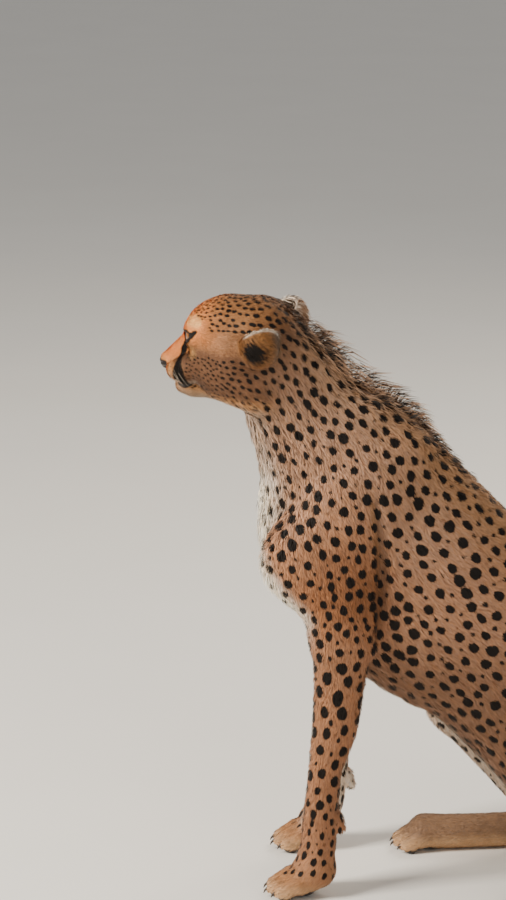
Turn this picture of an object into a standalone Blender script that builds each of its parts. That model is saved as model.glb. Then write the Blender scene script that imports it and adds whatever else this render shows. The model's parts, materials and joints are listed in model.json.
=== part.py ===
"""Seated cheetah, life size, as a set of separate solids.

The animal faces -Y, its left side is +X, +Z is up and the floor is z = 0.
The body is one smooth form made of tapered muscles and bones blended together.
It is divided into solids by flat cuts 0.3 mm wide.
"""
import bpy
import bmesh
import numpy as np
from math import cos, sin, pi, radians
from mathutils import Vector

# ------------------------------------------------------------------ dimensions
GAP = 0.0003                       # clear width of every cut
ORIGIN = (0.1021, 0.2285, 0.0)     # middle of the footprint, taken as the origin

HEAD_AT = (0.004, -0.132, 0.839)   # middle of the skull
HEAD_YAW = radians(20.0)           # looks to its right
HEAD_ROLL = radians(10.0)          # left ear carried lower
HEAD_LENGTH = 0.215

EYE_AT = (0.0305, -0.0655, 0.0125)
EYE_RADIUS = 0.0165
EAR_AT = (0.0585, 0.0400, 0.0160)
EAR_TIP = (0.50, 0.62, 0.60)
EAR_OPEN = (-0.50, -0.35, 0.79)
EAR_SIZE = (0.0280, 0.0335, 0.0355)
EAR_CUT = 0.010
EAR_LEAN = 0.10
EAR_WALL = 0.0042

FORELEG_X = (0.090, -0.091)        # at the elbow
FOREPAW_X = (0.090, -0.125)
HIP = ((0.066, 0.462, 0.190), (-0.066, 0.455, 0.190))
KNEE = ((0.150, 0.330, 0.262), (-0.118, 0.200, 0.240))
HOCK = ((0.146, 0.492, 0.062), (-0.128, 0.328, 0.062))
HIND_TOE = ((0.150, 0.262), (-0.120, 0.098))

# stations: x, y, z, half depth, half width
TRUNK = [(0, 0.022, 0.640, 0.122, 0.083), (0, 0.048, 0.565, 0.159, 0.094),
         (0, 0.096, 0.500, 0.169, 0.101), (0, 0.161, 0.440, 0.166, 0.106),
         (0, 0.235, 0.383, 0.151, 0.104), (0, 0.300, 0.318, 0.146, 0.100),
         (0, 0.358, 0.252, 0.143, 0.096), (0, 0.412, 0.188, 0.136, 0.094),
         (0, 0.455, 0.130, 0.122, 0.090), (0, 0.480, 0.092, 0.096, 0.080)]
NECK = [(0.003, -0.088, 0.806, 0.070, 0.056), (0.002, -0.060, 0.762, 0.084, 0.060),
        (0, -0.027, 0.702, 0.098, 0.066), (0, 0.020, 0.645, 0.121, 0.080)]
TAIL = [(0, 0.520, 0.085, 0.040, 0.040), (0.0, 0.566, 0.046, 0.031, 0.031),
        (0.020, 0.615, 0.026, 0.027, 0.027), (0.075, 0.672, 0.0235, 0.0245, 0.0245),
        (0.150, 0.696, 0.0225, 0.0235, 0.0235), (0.225, 0.688, 0.022, 0.023, 0.023),
        (0.288, 0.645, 0.022, 0.023, 0.023), (0.326, 0.580, 0.022, 0.023, 0.023),
        (0.342, 0.505, 0.023, 0.024, 0.024), (0.346, 0.435, 0.023, 0.0245, 0.0245),
        (0.344, 0.385, 0.0165, 0.017, 0.017)]
# y, z, half depth, half width down the front leg
FOREARM = [(0.0120, 0.405, 0.0510, 0.0350), (0.0095, 0.372, 0.0435, 0.0320),
           (0.0060, 0.322, 0.0380, 0.0290), (0.0000, 0.262, 0.0345, 0.0260),
           (-0.0125, 0.205, 0.0265, 0.0230), (-0.0160, 0.172, 0.0255, 0.0235),
           (-0.0205, 0.126, 0.0265, 0.0265), (-0.0235, 0.080, 0.0270, 0.0275),
           (-0.0300, 0.046, 0.0285, 0.0310)]
RIGHT_LEG_BACK = [0.006, 0.008, 0.010, 0.013, 0.016, 0.019, 0.020, 0.017, 0.011]
TOES = ((-0.0275, 0.011, -0.0035), (-0.0098, 0.0, -0.001), (0.0098, 0.0, 0.001), (0.0275, 0.011, 0.0035))
HIND_TOES = ((-0.0260, 0.010, -0.003), (-0.0092, 0.0, -0.001), (0.0092, 0.0, 0.001), (0.0260, 0.010, 0.003))

MUSCLES = []
FAR = 0.08


# ------------------------------------------------------------------ body form
def cone(name, a, b, ra, rb, wa, wb, blend, group=None):
    MUSCLES.append(dict(a=np.array(a, float), b=np.array(b, float), ra=ra, rb=rb, wa=wa, wb=wb,
                        k=blend, group=group or name, side=np.array([1.0, 0, 0])))


def spline(stations, n):
    S = np.array(stations, float)
    E = np.vstack([2 * S[0] - S[1], S, 2 * S[-1] - S[-2]])
    out = []
    for i in range(len(S) - 1):
        p0, p1, p2, p3 = E[i], E[i + 1], E[i + 2], E[i + 3]
        for j in range(n):
            t = j / n
            out.append(0.5 * (2 * p1 + (p2 - p0) * t + (2 * p0 - 5 * p1 + 4 * p2 - p3) * t * t
                              + (3 * p1 - p0 - 3 * p2 + p3) * t ** 3))
    out.append(S[-1])
    return out


def chain(name, stations, blend, n=3):
    st = spline(stations, n)
    for i in range(len(st) - 1):
        p, q = st[i], st[i + 1]
        cone(name, p[:3], q[:3], p[3], q[3], p[4], q[4], blend, name)


def lerp(a, b, t):
    return [a[i] + (b[i] - a[i]) * t for i in range(3)]


def build_forms():
    chain("neck", NECK, 0.03)
    chain("trunk", TRUNK, 0.03)
    for i, s in enumerate((1, -1)):
        n = "l" if s > 0 else "r"
        # shoulder blade, upper arm, triceps, elbow
        chain("blade_" + n, [(s * 0.040, 0.100, 0.672, 0.036, 0.028), (s * 0.064, 0.035, 0.600, 0.068, 0.042),
                             (s * 0.078, -0.038, 0.520, 0.066, 0.045)], 0.03)
        wx = s * 0.090
        back = 0.0 if s > 0 else 0.004
        chain("arm_" + n, [(s * 0.078, -0.038, 0.520, 0.066, 0.045), (s * 0.086, 0.000, 0.455, 0.055, 0.040),
                           (wx, 0.012 + back, 0.405, 0.050, 0.034)], 0.025)
        chain("triceps_" + n, [(s * 0.072, 0.010, 0.600, 0.052, 0.036), (s * 0.084, 0.014, 0.520, 0.050, 0.036),
                               (s * 0.090, 0.030 + back, 0.432, 0.036, 0.026)], 0.02)
        cone("elbow_" + n, (wx, 0.052 + back, 0.436), (wx, 0.036 + back, 0.400), 0.017, 0.022, 0.015, 0.018, 0.015)
        # forearm and wrist
        m = len(FOREARM) - 1
        fx = [FORELEG_X[i] + (FOREPAW_X[i] - FORELEG_X[i]) * (j / m) for j in range(m + 1)]
        fy = [0.0] * (m + 1) if s > 0 else RIGHT_LEG_BACK
        chain("fore_" + n, [(fx[j], FOREARM[j][0] + fy[j]) + FOREARM[j][1:] for j in range(m + 1)], 0.012)
        cx, cy = fx[6], fy[6]
        cone("carpal_" + n, (cx, 0.004 + cy, 0.122), (cx, 0.011 + cy, 0.106), 0.011, 0.0085, 0.010, 0.008, 0.010)
        # forepaw
        px, py = fx[m], fy[m]
        cone("palm_" + n, (px, -0.026 + py, 0.040), (px, -0.050 + py, 0.024), 0.029, 0.024, 0.032, 0.036, 0.012)
        for j, (tx, ty, sp) in enumerate(TOES):
            cone("toe%d_%s" % (j, n), (px + tx * 0.92, -0.064 + ty * 0.9 + py, 0.0285 - abs(tx) * 0.15),
                 (px + tx + sp, -0.0885 + ty + py, 0.0135), 0.0158, 0.0120, 0.0118, 0.0102, 0.005)
        # haunch, thigh, shank
        hip, knee, hock = HIP[i], KNEE[i], HOCK[i]
        mid = lerp(hip, knee, 0.5)
        mid = (mid[0] + s * 0.012, mid[1], mid[2] - 0.010)
        cone("haunch_" + n, (s * 0.060, 0.475, 0.125), (hip[0], hip[1] - 0.01, hip[2]), 0.100, 0.112, 0.062, 0.058, 0.03)
        cone("thigh_" + n, hip, mid, 0.112, 0.092, 0.058, 0.050, 0.03, "thigh_" + n)
        cone("thigh_" + n, mid, knee, 0.092, 0.050, 0.050, 0.036, 0.03, "thigh_" + n)
        calf = lerp(knee, hock, 0.45)
        calf[1] += 0.006
        cone("shank_" + n, knee, calf, 0.050, 0.044, 0.036, 0.031, 0.02, "shank_" + n)
        cone("shank_" + n, calf, hock, 0.044, 0.0275, 0.031, 0.021, 0.02, "shank_" + n)
        # hind foot, flat on the floor
        foot_x, ty = HIND_TOE[i]
        cone("heel_" + n, (hock[0], hock[1] + 0.014, 0.066), (hock[0], ty + 0.228, 0.030), 0.019, 0.0255, 0.017, 0.022, 0.012)
        chain("foot_" + n, [(hock[0], ty + 0.222, 0.0285, 0.0280, 0.0230),
                            (0.5 * (hock[0] + foot_x), ty + 0.150, 0.0270, 0.0272, 0.0235),
                            (foot_x, ty + 0.085, 0.0265, 0.0268, 0.0290),
                            (foot_x, ty + 0.050, 0.0270, 0.0265, 0.0340)], 0.012)
        for j, (tx, dy, sp) in enumerate(HIND_TOES):
            cone("htoe%d_%s" % (j, n), (foot_x + tx * 0.92, ty + 0.039 + dy * 0.9, 0.0290 - abs(tx) * 0.15),
                 (foot_x + tx + sp, ty + 0.0125 + dy, 0.0135), 0.0165, 0.0120, 0.0112, 0.0098, 0.005)
    chain("tail", TAIL, 0.008)
    # head, drawn about the middle of the skull, then turned
    first = len(MUSCLES)
    cone("cranium", (0, -0.030, 0.013), (0, 0.022, 0.012), 0.051, 0.056, 0.052, 0.056, 0.02)
    cone("brow", (0, -0.056, 0.009), (0, -0.030, 0.008), 0.0375, 0.050, 0.040, 0.052, 0.02)
    cone("nape", (0, 0.016, 0.000), (0, 0.042, -0.022), 0.054, 0.054, 0.050, 0.050, 0.02)
    cone("bridge", (0, -0.076, -0.004), (0, -0.1255, -0.0390), 0.0215, 0.0118, 0.0205, 0.0150, 0.012)
    cone("jaw", (0, -0.088, -0.0755), (0, -0.020, -0.053), 0.0190, 0.040, 0.0215, 0.044, 0.016)
    cone("chin", (0, -0.1040, -0.0795), (0, -0.086, -0.0765), 0.0140, 0.0175, 0.0155, 0.0200, 0.012)
    cone("throat", (0, -0.080, -0.0700), (0, -0.022, -0.0680), 0.0230, 0.0330, 0.0230, 0.0400, 0.012)
    for s in (1, -1):
        n = "l" if s > 0 else "r"
        cone("lip_" + n, (s * 0.0150, -0.1065, -0.0500), (s * 0.0225, -0.087, -0.045), 0.0185, 0.0235, 0.0175, 0.0215, 0.010)
        cone("cheek_" + n, (s * 0.033, -0.0545, -0.031), (s * 0.044, -0.008, -0.030), 0.0265, 0.040, 0.0235, 0.030, 0.02)
        cone("arch_" + n, (s * 0.036, -0.0520, -0.004), (s * 0.050, -0.005, -0.004), 0.015, 0.030, 0.0135, 0.022, 0.018)
        cone("ridge_" + n, (s * 0.027, -0.071, 0.0245), (s * 0.042, -0.046, 0.022), 0.0115, 0.015, 0.011, 0.014, 0.014)
        cone("ruff_" + n, (s * 0.036, -0.030, -0.055), (s * 0.046, 0.020, -0.060), 0.026, 0.036, 0.022, 0.028, 0.025)
    for q in MUSCLES[first:]:
        q["a"] = TURN @ q["a"] + HEAD_AT
        q["b"] = TURN @ q["b"] + HEAD_AT
        q["side"] = TURN @ q["side"]


def head_turn():
    cy, sy, cr, sr = cos(HEAD_YAW), sin(HEAD_YAW), cos(HEAD_ROLL), sin(HEAD_ROLL)
    return (np.array([[cy, sy, 0], [-sy, cy, 0], [0, 0, 1.0]])
            @ np.array([[cr, 0, sr], [0, 1, 0], [-sr, 0, cr]]))


TURN = head_turn()


def cone_distance(q, P):
    ba = q["b"] - q["a"]
    pa = P - q["a"]
    t = np.clip(pa @ ba / max(ba @ ba, 1e-12), 0, 1)
    r = q["ra"] + (q["rb"] - q["ra"]) * t
    w = q["wa"] + (q["wb"] - q["wa"]) * t
    d = pa - t[:, None] * ba
    u = ba / max(np.linalg.norm(ba), 1e-9)
    lat = q["side"] - (q["side"] @ u) * u
    lat = lat / max(np.linalg.norm(lat), 1e-9)
    x = d @ lat
    m2 = np.maximum((d * d).sum(1) - x * x, 0)
    k0 = np.sqrt((x / w) ** 2 + m2 / (r * r))
    k1 = np.sqrt((x / (w * w)) ** 2 + m2 / (r ** 4))
    return np.where(k0 > 1e-4, k0 * (k0 - 1) / np.maximum(k1, 1e-9), -np.minimum(r, w))


def smin(a, b, k):
    h = np.clip(k - np.abs(a - b), 0, None) / k
    return np.minimum(a, b) - h * h * k * 0.25


def ear_frame(s):
    t = np.array(EAR_TIP) / np.linalg.norm(EAR_TIP)
    o = np.array(EAR_OPEN) - (np.array(EAR_OPEN) @ t) * t
    o /= np.linalg.norm(o)
    M = np.stack([np.cross(t, o), t, o])
    M[:, 0] *= s
    return TURN @ (np.array(EAR_AT) * (s, 1, 1)) + HEAD_AT, M @ TURN.T


def body(P, pad=0.045):
    """Signed distance to the hide at the points P, negative inside."""
    F = np.full(len(P), FAR)
    names = []
    for q in MUSCLES:
        if q["group"] not in names:
            names.append(q["group"])
    for name in names:
        g = [q for q in MUSCLES if q["group"] == name]
        k = g[0]["k"]
        D = np.full(len(P), FAR)
        for q in g:
            e = max(q["ra"], q["rb"], q["wa"], q["wb"]) + k + pad
            lo = np.minimum(q["a"], q["b"]) - e
            hi = np.maximum(q["a"], q["b"]) + e
            sel = np.nonzero(((P > lo) & (P < hi)).all(1))[0]
            if len(sel):
                D[sel] = np.minimum(D[sel], cone_distance(q, P[sel]))
        near = np.nonzero(D < FAR)[0]
        F[near] = smin(F[near], D[near], k)
    return F


# ------------------------------------------------------------------ surfacing
def lattice(f, lo, hi, h):
    """Values of f on a lattice, worked out finely only near its surface."""
    B = 4
    lo = np.array(lo, float)
    nb = np.ceil((np.array(hi) - lo) / (h * B)).astype(int) + 1
    idx = np.stack(np.meshgrid(*[np.arange(k) for k in nb], indexing="ij"), -1).reshape(-1, 3)
    c = f(lo + (idx * B + (B - 1) / 2.0) * h)
    V = np.repeat(np.repeat(np.repeat(c.reshape(nb), B, 0), B, 1), B, 2)
    bi = idx[np.abs(c) < h * B * 1.5]
    off = np.stack(np.meshgrid(*[np.arange(B)] * 3, indexing="ij"), -1).reshape(-1, 3)
    pts = (bi[:, None, :] * B + off[None]).reshape(-1, 3)
    V[pts[:, 0], pts[:, 1], pts[:, 2]] = f(lo + pts * h)
    return V, lo


def surface(V, lo, h):
    """Naive surface nets: one vertex a cell, one quad a crossed lattice edge."""
    n = np.array(V.shape)
    inside = V < 0
    cs = tuple(n - 1)
    cnt = np.zeros(cs, np.int8)
    corners = [(i, j, k) for i in (0, 1) for j in (0, 1) for k in (0, 1)]
    for i, j, k in corners:
        cnt += inside[i:i + cs[0], j:j + cs[1], k:k + cs[2]]
    cells = np.argwhere((cnt > 0) & (cnt < 8))
    cid = np.full(cs, -1, np.int64)
    cid[cells[:, 0], cells[:, 1], cells[:, 2]] = np.arange(len(cells))
    acc = np.zeros((len(cells), 3))
    num = np.zeros(len(cells))
    for a in corners:
        for ax in range(3):
            if a[ax]:
                continue
            b = list(a)
            b[ax] = 1
            va = V[cells[:, 0] + a[0], cells[:, 1] + a[1], cells[:, 2] + a[2]]
            vb = V[cells[:, 0] + b[0], cells[:, 1] + b[1], cells[:, 2] + b[2]]
            cross = (va < 0) != (vb < 0)
            t = np.where(cross, va / np.where(cross, va - vb, 1), 0)
            p = np.array(a, float)[None] + t[:, None] * (np.array(b) - np.array(a))[None]
            acc += np.where(cross[:, None], p, 0)
            num += cross
    verts = lo + (cells + acc / np.maximum(num, 1)[:, None]) * h
    quads = []
    for ax in range(3):
        b1, b2 = (ax + 1) % 3, (ax + 2) % 3
        s0, s1 = [slice(None)] * 3, [slice(None)] * 3
        s0[ax], s1[ax] = slice(0, n[ax] - 1), slice(1, n[ax])
        A, Z = inside[tuple(s0)], inside[tuple(s1)]
        e = np.argwhere(A != Z)
        e = e[(e[:, b1] > 0) & (e[:, b2] > 0) & (e[:, b1] < n[b1] - 1) & (e[:, b2] < n[b2] - 1)]
        flip = A[e[:, 0], e[:, 1], e[:, 2]]
        ring = []
        for d1, d2 in ((1, 1), (0, 1), (0, 0), (1, 0)):
            c = e.copy()
            c[:, b1] -= d1
            c[:, b2] -= d2
            ring.append(cid[c[:, 0], c[:, 1], c[:, 2]])
        q = np.stack(ring, 1)
        quads.append(np.where(flip[:, None], q, q[:, ::-1]))
    return verts, np.concatenate(quads)


def settle(f, P, h):
    """Slide vertices onto the true surface."""
    for _ in range(2):
        g = np.empty_like(P)
        for i in range(3):
            d = np.zeros(3)
            d[i] = 0.0008
            g[:, i] = (f(P + d) - f(P - d)) / 0.0016
        s = f(P) / np.maximum((g * g).sum(1), 0.2)
        P = P - np.clip(s, -0.6 * h, 0.6 * h)[:, None] * g
    return P


# ------------------------------------------------------------------ solids
def material(name, colour, roughness):
    m = bpy.data.materials.new(name)
    m.use_nodes = True
    b = m.node_tree.nodes["Principled BSDF"]
    b.inputs["Base Color"].default_value = (*colour, 1)
    b.inputs["Roughness"].default_value = roughness
    m.diffuse_color = (*colour, 1)
    return m


def link(name, me, mat, smooth=True):
    ob = bpy.data.objects.new(name, me)
    bpy.context.scene.collection.objects.link(ob)
    if mat:
        me.materials.append(mat)
    for p in me.polygons:
        p.use_smooth = smooth
    return ob


def plane(point, normal):
    n = np.array(normal, float)
    n /= np.linalg.norm(n)
    return np.array(point, float), n


def tidy(bm):
    """Merge slivers under a tenth of a millimetre and close what that opens."""
    for _ in range(3):
        bmesh.ops.remove_doubles(bm, verts=bm.verts[:], dist=9e-5)
        short = [e for e in bm.edges if len(e.link_faces) > 2]
        if not short:
            break
        for e in short:
            e.verts[0].co = e.verts[1].co
    seen, spare = set(), []
    for f in bm.faces:
        key = tuple(sorted(v.index for v in f.verts))
        if key in seen:
            spare.append(f)
        seen.add(key)
    bmesh.ops.delete(bm, geom=spare, context="FACES")
    bmesh.ops.delete(bm, geom=[e for e in bm.edges if e.is_wire], context="EDGES")
    bmesh.ops.holes_fill(bm, edges=[e for e in bm.edges if e.is_boundary], sides=0)
    bmesh.ops.triangulate(bm, faces=[f for f in bm.faces if len(f.verts) > 3])


def trim(bm, planes):
    """Cut the closed mesh to the outer side of each plane, half a gap clear of it, and cap it."""
    for p, n in planes:
        p = p + n * (GAP / 2) - np.array(ORIGIN)
        bmesh.ops.bisect_plane(bm, geom=bm.verts[:] + bm.edges[:] + bm.faces[:], dist=1e-6,
                               plane_co=Vector(p), plane_no=Vector(n), clear_inner=True)
        bmesh.ops.remove_doubles(bm, verts=[v for v in bm.verts if any(e.is_boundary for e in v.link_edges)], dist=9e-5)
        bmesh.ops.delete(bm, geom=[e for e in bm.edges if e.is_wire], context="EDGES")
        rim = [e for e in bm.edges if e.is_boundary]
        if rim:
            bmesh.ops.triangle_fill(bm, edges=rim, use_beauty=True, use_dissolve=False, normal=Vector(-n))
        bmesh.ops.triangulate(bm, faces=[f for f in bm.faces if len(f.verts) > 3])


def largest_shell(bm):
    seen, best = set(), []
    bm.verts.index_update()
    for v in bm.verts:
        if v.index in seen:
            continue
        shell, stack = [], [v]
        seen.add(v.index)
        while stack:
            w = stack.pop()
            shell.append(w)
            for e in w.link_edges:
                x = e.other_vert(w)
                if x.index not in seen:
                    seen.add(x.index)
                    stack.append(x)
        if len(shell) > len(best):
            best = shell
    keep = set(v.index for v in best)
    bmesh.ops.delete(bm, geom=[v for v in bm.verts if v.index not in keep], context="VERTS")


def thinned(me, ratio):
    """The mesh with its triangles collapsed to the given share."""
    ob = bpy.data.objects.new("thin", me)
    bpy.context.scene.collection.objects.link(ob)
    d = ob.modifiers.new("thin", "DECIMATE")
    d.decimate_type = "COLLAPSE"
    d.ratio = ratio
    d.use_collapse_triangulate = True
    out = bpy.data.meshes.new_from_object(ob.evaluated_get(bpy.context.evaluated_depsgraph_get()))
    bpy.data.objects.remove(ob, do_unlink=True)
    return out


def flesh(name, lo, hi, h, faces, planes, mat):
    """One solid of the body: the form inside a box, thinned, then trimmed by flat cuts."""
    lo, hi = np.array(lo, float), np.array(hi, float)
    m = 2.2 * h

    def f(P):
        F = np.maximum(body(P), -P[:, 2])
        box = np.maximum(lo - P, P - hi).max(1)
        for p, n in planes:
            box = np.maximum(box, -((P - p) @ n) - m)
        return np.maximum(F, box)

    V, o = lattice(f, lo - 4 * h, hi + 4 * h, h)
    verts, quads = surface(V, o, h)
    verts = settle(f, verts, h)
    verts[:, 2] = np.where(verts[:, 2] < 0.25 * h, 0.0, verts[:, 2])
    fine = bpy.data.meshes.new(name + "_fine")
    fine.from_pydata((verts - np.array(ORIGIN)).tolist(), [], quads.tolist())
    bm = bmesh.new()
    bm.from_mesh(fine)
    # drop what the cuts will drop anyway, then find how far to thin the rest
    largest_shell(bm)
    bmesh.ops.triangulate(bm, faces=bm.faces[:])
    bmesh.ops.recalc_face_normals(bm, faces=bm.faces[:])
    n = len(bm.faces)
    bm.to_mesh(fine)
    bm.free()
    me = thinned(fine, min(1.0, faces / n))
    bpy.data.meshes.remove(fine)
    me.name = name
    bm = bmesh.new()
    bm.from_mesh(me)
    for v in bm.verts:
        v.co.z = max(v.co.z, 0.0)
    tidy(bm)
    trim(bm, planes)
    largest_shell(bm)
    tidy(bm)
    bmesh.ops.recalc_face_normals(bm, faces=bm.faces[:])
    bm.to_mesh(me)
    bm.free()
    return link(name, me, mat)


def ear(name, s, planes, mat, around=20, rings=6):
    """A cup-shaped ear: outer and inner ellipsoid shells joined at a rounded rim."""
    c, M = ear_frame(s)
    R = np.array(EAR_SIZE)

    def rim_angle(r, cut, phi):
        a, b = 0.6, 3.0
        for _ in range(40):
            t = 0.5 * (a + b)
            z = -r[2] * cos(t)
            if z < cut + EAR_LEAN * r[1] * sin(phi) * sin(t):
                a = t
            else:
                b = t
        return a

    shells = [(R, 0.0, EAR_CUT - 0.0015, rings), (R - 0.35 * EAR_WALL, 0.0, EAR_CUT, 0),
              (R - 0.75 * EAR_WALL, 0.0, EAR_CUT, 0), (R - EAR_WALL, 0.0, EAR_CUT - 0.0015, rings)]
    loops = []
    for k, (r, lift, cut, n) in enumerate(shells):
        ang = [rim_angle(r, cut, 2 * pi * j / around) for j in range(around)]
        steps = [1.0] if n == 0 else [(i + 1) / n for i in range(n)]
        if k == 3:
            steps = steps[::-1]
        for t in steps:
            loops.append([(r[0] * cos(2 * pi * j / around) * sin(ang[j] * t),
                           r[1] * sin(2 * pi * j / around) * sin(ang[j] * t),
                           -r[2] * cos(ang[j] * t) + lift) for j in range(around)])
    bm = bmesh.new()

    def put(q):
        return bm.verts.new(Vector(np.array(q) @ M + c - np.array(ORIGIN)))

    first = put((0, 0, -R[2]))
    rows = [[put(q) for q in loop] for loop in loops]
    last = put((0, 0, -(R[2] - EAR_WALL)))
    for j in range(around):
        k = (j + 1) % around
        bm.faces.new((first, rows[0][k], rows[0][j]))
        bm.faces.new((last, rows[-1][j], rows[-1][k]))
        for a, b in zip(rows, rows[1:]):
            bm.faces.new((a[j], a[k], b[k], b[j]))
    bmesh.ops.triangulate(bm, faces=bm.faces[:])
    bmesh.ops.recalc_face_normals(bm, faces=bm.faces[:])
    trim(bm, planes)
    largest_shell(bm)
    tidy(bm)
    bmesh.ops.recalc_face_normals(bm, faces=bm.faces[:])
    me = bpy.data.meshes.new(name)
    bm.to_mesh(me)
    bm.free()
    return link(name, me, mat)


def hollow(ob, cutter):
    b = ob.modifiers.new("seat", "BOOLEAN")
    b.operation = "DIFFERENCE"
    b.solver = "EXACT"
    b.object = cutter


def ball(name, centre, radius, u, v, mat, hide=False):
    bm = bmesh.new()
    bmesh.ops.create_uvsphere(bm, u_segments=u, v_segments=v, radius=radius)
    for w in bm.verts:
        w.co += Vector(np.array(centre) - np.array(ORIGIN))
    me = bpy.data.meshes.new(name)
    bm.to_mesh(me)
    bm.free()
    ob = link(name, me, mat)
    if hide:
        ob.hide_render = True
        ob.display_type = "WIRE"
    return ob


def local(p):
    return TURN @ np.array(p, float) + HEAD_AT


def main():
    for ob in list(bpy.data.objects):
        bpy.data.objects.remove(ob, do_unlink=True)
    build_forms()

    tawny = material("coat_tawny", (0.62, 0.36, 0.17), 0.85)
    pale = material("coat_pale", (0.72, 0.58, 0.42), 0.85)
    ringed = material("coat_tail", (0.60, 0.42, 0.25), 0.85)
    amber = material("eye_amber", (0.35, 0.15, 0.03), 0.08)
    leather = material("nose_leather", (0.02, 0.015, 0.014), 0.45)

    up = lambda pl: pl
    down = lambda pl: (pl[0], -pl[1])
    nape = plane((0, -0.075, 0.775), (0, -0.607, 0.795))
    withers = plane((0, -0.100, 0.620), (0, -0.540, 0.842))
    sternum = plane((0, 0.000, 0.360), (0, -1, -1))
    wrist = plane((0, 0, 0.062), (0, 0, -1))
    rump = plane((0, 0.604, 0), (0, 1, 0))
    sides = [plane((s * 0.056, 0, 0), (s * 1.0, 0, -0.215)) for s in (1, -1)]
    ankle_l = plane((0.117, 0, 0.035), (1.6, 0, -1))
    ankle_r = plane((0, 0.250, 0.100), (0, -0.35, -1))
    nose_cut = plane(local((0, -0.1215, -0.0260)), TURN @ np.array((0, -1.0, 0.46)))
    ear_cut = [plane(local((s * 0.053, 0.040, 0.012)), TURN @ np.array((s * 0.85, 0.42, 0.30))) for s in (1, -1)]

    flesh("trunk", (-0.16, -0.18, -0.01), (0.16, 0.63, 0.80), 0.010, 1310,
          [down(withers), down(sternum), down(sides[0]), down(sides[1]), down(rump)], tawny)
    flesh("neck", (-0.15, -0.20, 0.56), (0.15, 0.16, 0.90), 0.008, 500, [down(nape), up(withers)], tawny)
    head = flesh("head", (-0.14, -0.31, 0.69), (0.14, 0.05, 0.93), 0.0035, 1450,
                 [up(nape), down(nose_cut), down(ear_cut[0]), down(ear_cut[1])], tawny)
    flesh("nose", (-0.12, -0.31, 0.76), (0.04, -0.20, 0.84), 0.0015, 110, [up(nose_cut)], leather)
    for s, n, c in ((1, "left", ear_cut[0]), (-1, "right", ear_cut[1])):
        ear("ear_" + n, s, [c], tawny)
        e = local(np.array(EYE_AT) * (s, 1, 1))
        hollow(head, ball("cut_eye_" + n, e, EYE_RADIUS + GAP, 18, 10, None, True))
        ball("eye_" + n, e, EYE_RADIUS, 18, 10, amber)
    for i, (s, n) in enumerate(((1, "left"), (-1, "right"))):
        x = FORELEG_X[i]
        flesh("foreleg_" + n, (min(x, FOREPAW_X[i]) - 0.06, -0.10, 0.04), (max(x, FOREPAW_X[i]) + 0.06, 0.085, 0.45),
              0.0065, 380, [up(sternum), down(wrist)], tawny)
        x = FOREPAW_X[i]
        flesh("forepaw_" + n, (x - 0.07, -0.14, -0.01), (x + 0.07, 0.06, 0.08), 0.0035, 430, [up(wrist)], pale)
        x = KNEE[i][0]
        if s > 0:
            flesh("hindleg_left", (0.0, 0.24, -0.01), (0.23, 0.63, 0.36), 0.008, 480,
                  [up(sides[0]), down(ankle_l), down(rump)], tawny)
            flesh("hindfoot_left", (0.05, 0.235, -0.01), (0.225, 0.56, 0.20), 0.0045, 440,
                  [up(sides[0]), up(ankle_l)], pale)
        else:
            flesh("hindleg_right", (-0.20, 0.13, -0.01), (0.0, 0.63, 0.36), 0.008, 480,
                  [up(sides[1]), down(ankle_r), down(rump)], tawny)
            flesh("hindfoot_right", (-0.20, 0.06, -0.01), (-0.02, 0.40, 0.12), 0.0045, 440,
                  [up(sides[1]), up(ankle_r)], pale)
    mid_x, mid_y = 0.150, 0.600
    flesh("tail_base", (-0.06, 0.58, -0.01), (mid_x + 0.05, 0.76, 0.13), 0.005, 230,
          [up(rump), plane((mid_x, 0, 0), (-1, 0, 0))], tawny)
    flesh("tail_middle", (mid_x - 0.05, mid_y - 0.05, -0.01), (0.40, 0.76, 0.09), 0.005, 230,
          [plane((mid_x, 0, 0), (1, 0, 0)), plane((0, mid_y, 0), (0, 1, 0))], ringed)
    flesh("tail_tip", (0.27, 0.33, -0.01), (0.41, mid_y + 0.05, 0.09), 0.005, 230,
          [plane((0, mid_y, 0), (0, -1, 0))], ringed)


main()
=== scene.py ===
import json
import bpy
import bmesh
import numpy as np
from math import cos, sin, pi, radians
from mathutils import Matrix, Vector
from mathutils.kdtree import KDTree

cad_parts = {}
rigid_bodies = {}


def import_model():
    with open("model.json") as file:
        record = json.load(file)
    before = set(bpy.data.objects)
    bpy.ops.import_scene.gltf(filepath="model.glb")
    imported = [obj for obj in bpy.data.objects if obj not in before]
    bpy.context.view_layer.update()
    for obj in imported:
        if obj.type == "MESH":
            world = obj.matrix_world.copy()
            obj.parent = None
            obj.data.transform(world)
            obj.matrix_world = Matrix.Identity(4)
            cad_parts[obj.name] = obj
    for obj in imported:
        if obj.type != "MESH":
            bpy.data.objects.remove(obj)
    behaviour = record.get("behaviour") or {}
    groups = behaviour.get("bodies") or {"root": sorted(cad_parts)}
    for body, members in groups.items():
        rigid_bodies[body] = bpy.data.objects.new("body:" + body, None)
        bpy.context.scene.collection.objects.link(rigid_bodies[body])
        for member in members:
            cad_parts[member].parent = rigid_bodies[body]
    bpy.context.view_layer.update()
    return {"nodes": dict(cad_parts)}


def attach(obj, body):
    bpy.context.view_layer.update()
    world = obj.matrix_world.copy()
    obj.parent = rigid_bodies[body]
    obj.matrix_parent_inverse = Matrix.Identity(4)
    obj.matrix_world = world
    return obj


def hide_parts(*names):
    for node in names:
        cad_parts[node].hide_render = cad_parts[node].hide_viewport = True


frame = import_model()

SHARE = 1.0     # share of the coat made while trying things
rng = np.random.default_rng(20)

# ------------------------------------------------------------------ dimensions (metres, as in the CAD)
ORIGIN = np.array((0.1021, 0.2285, 0.0))
HEAD_AT = np.array((0.004, -0.132, 0.839))
HEAD_YAW = radians(20.0)
HEAD_ROLL = radians(10.0)

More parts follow.
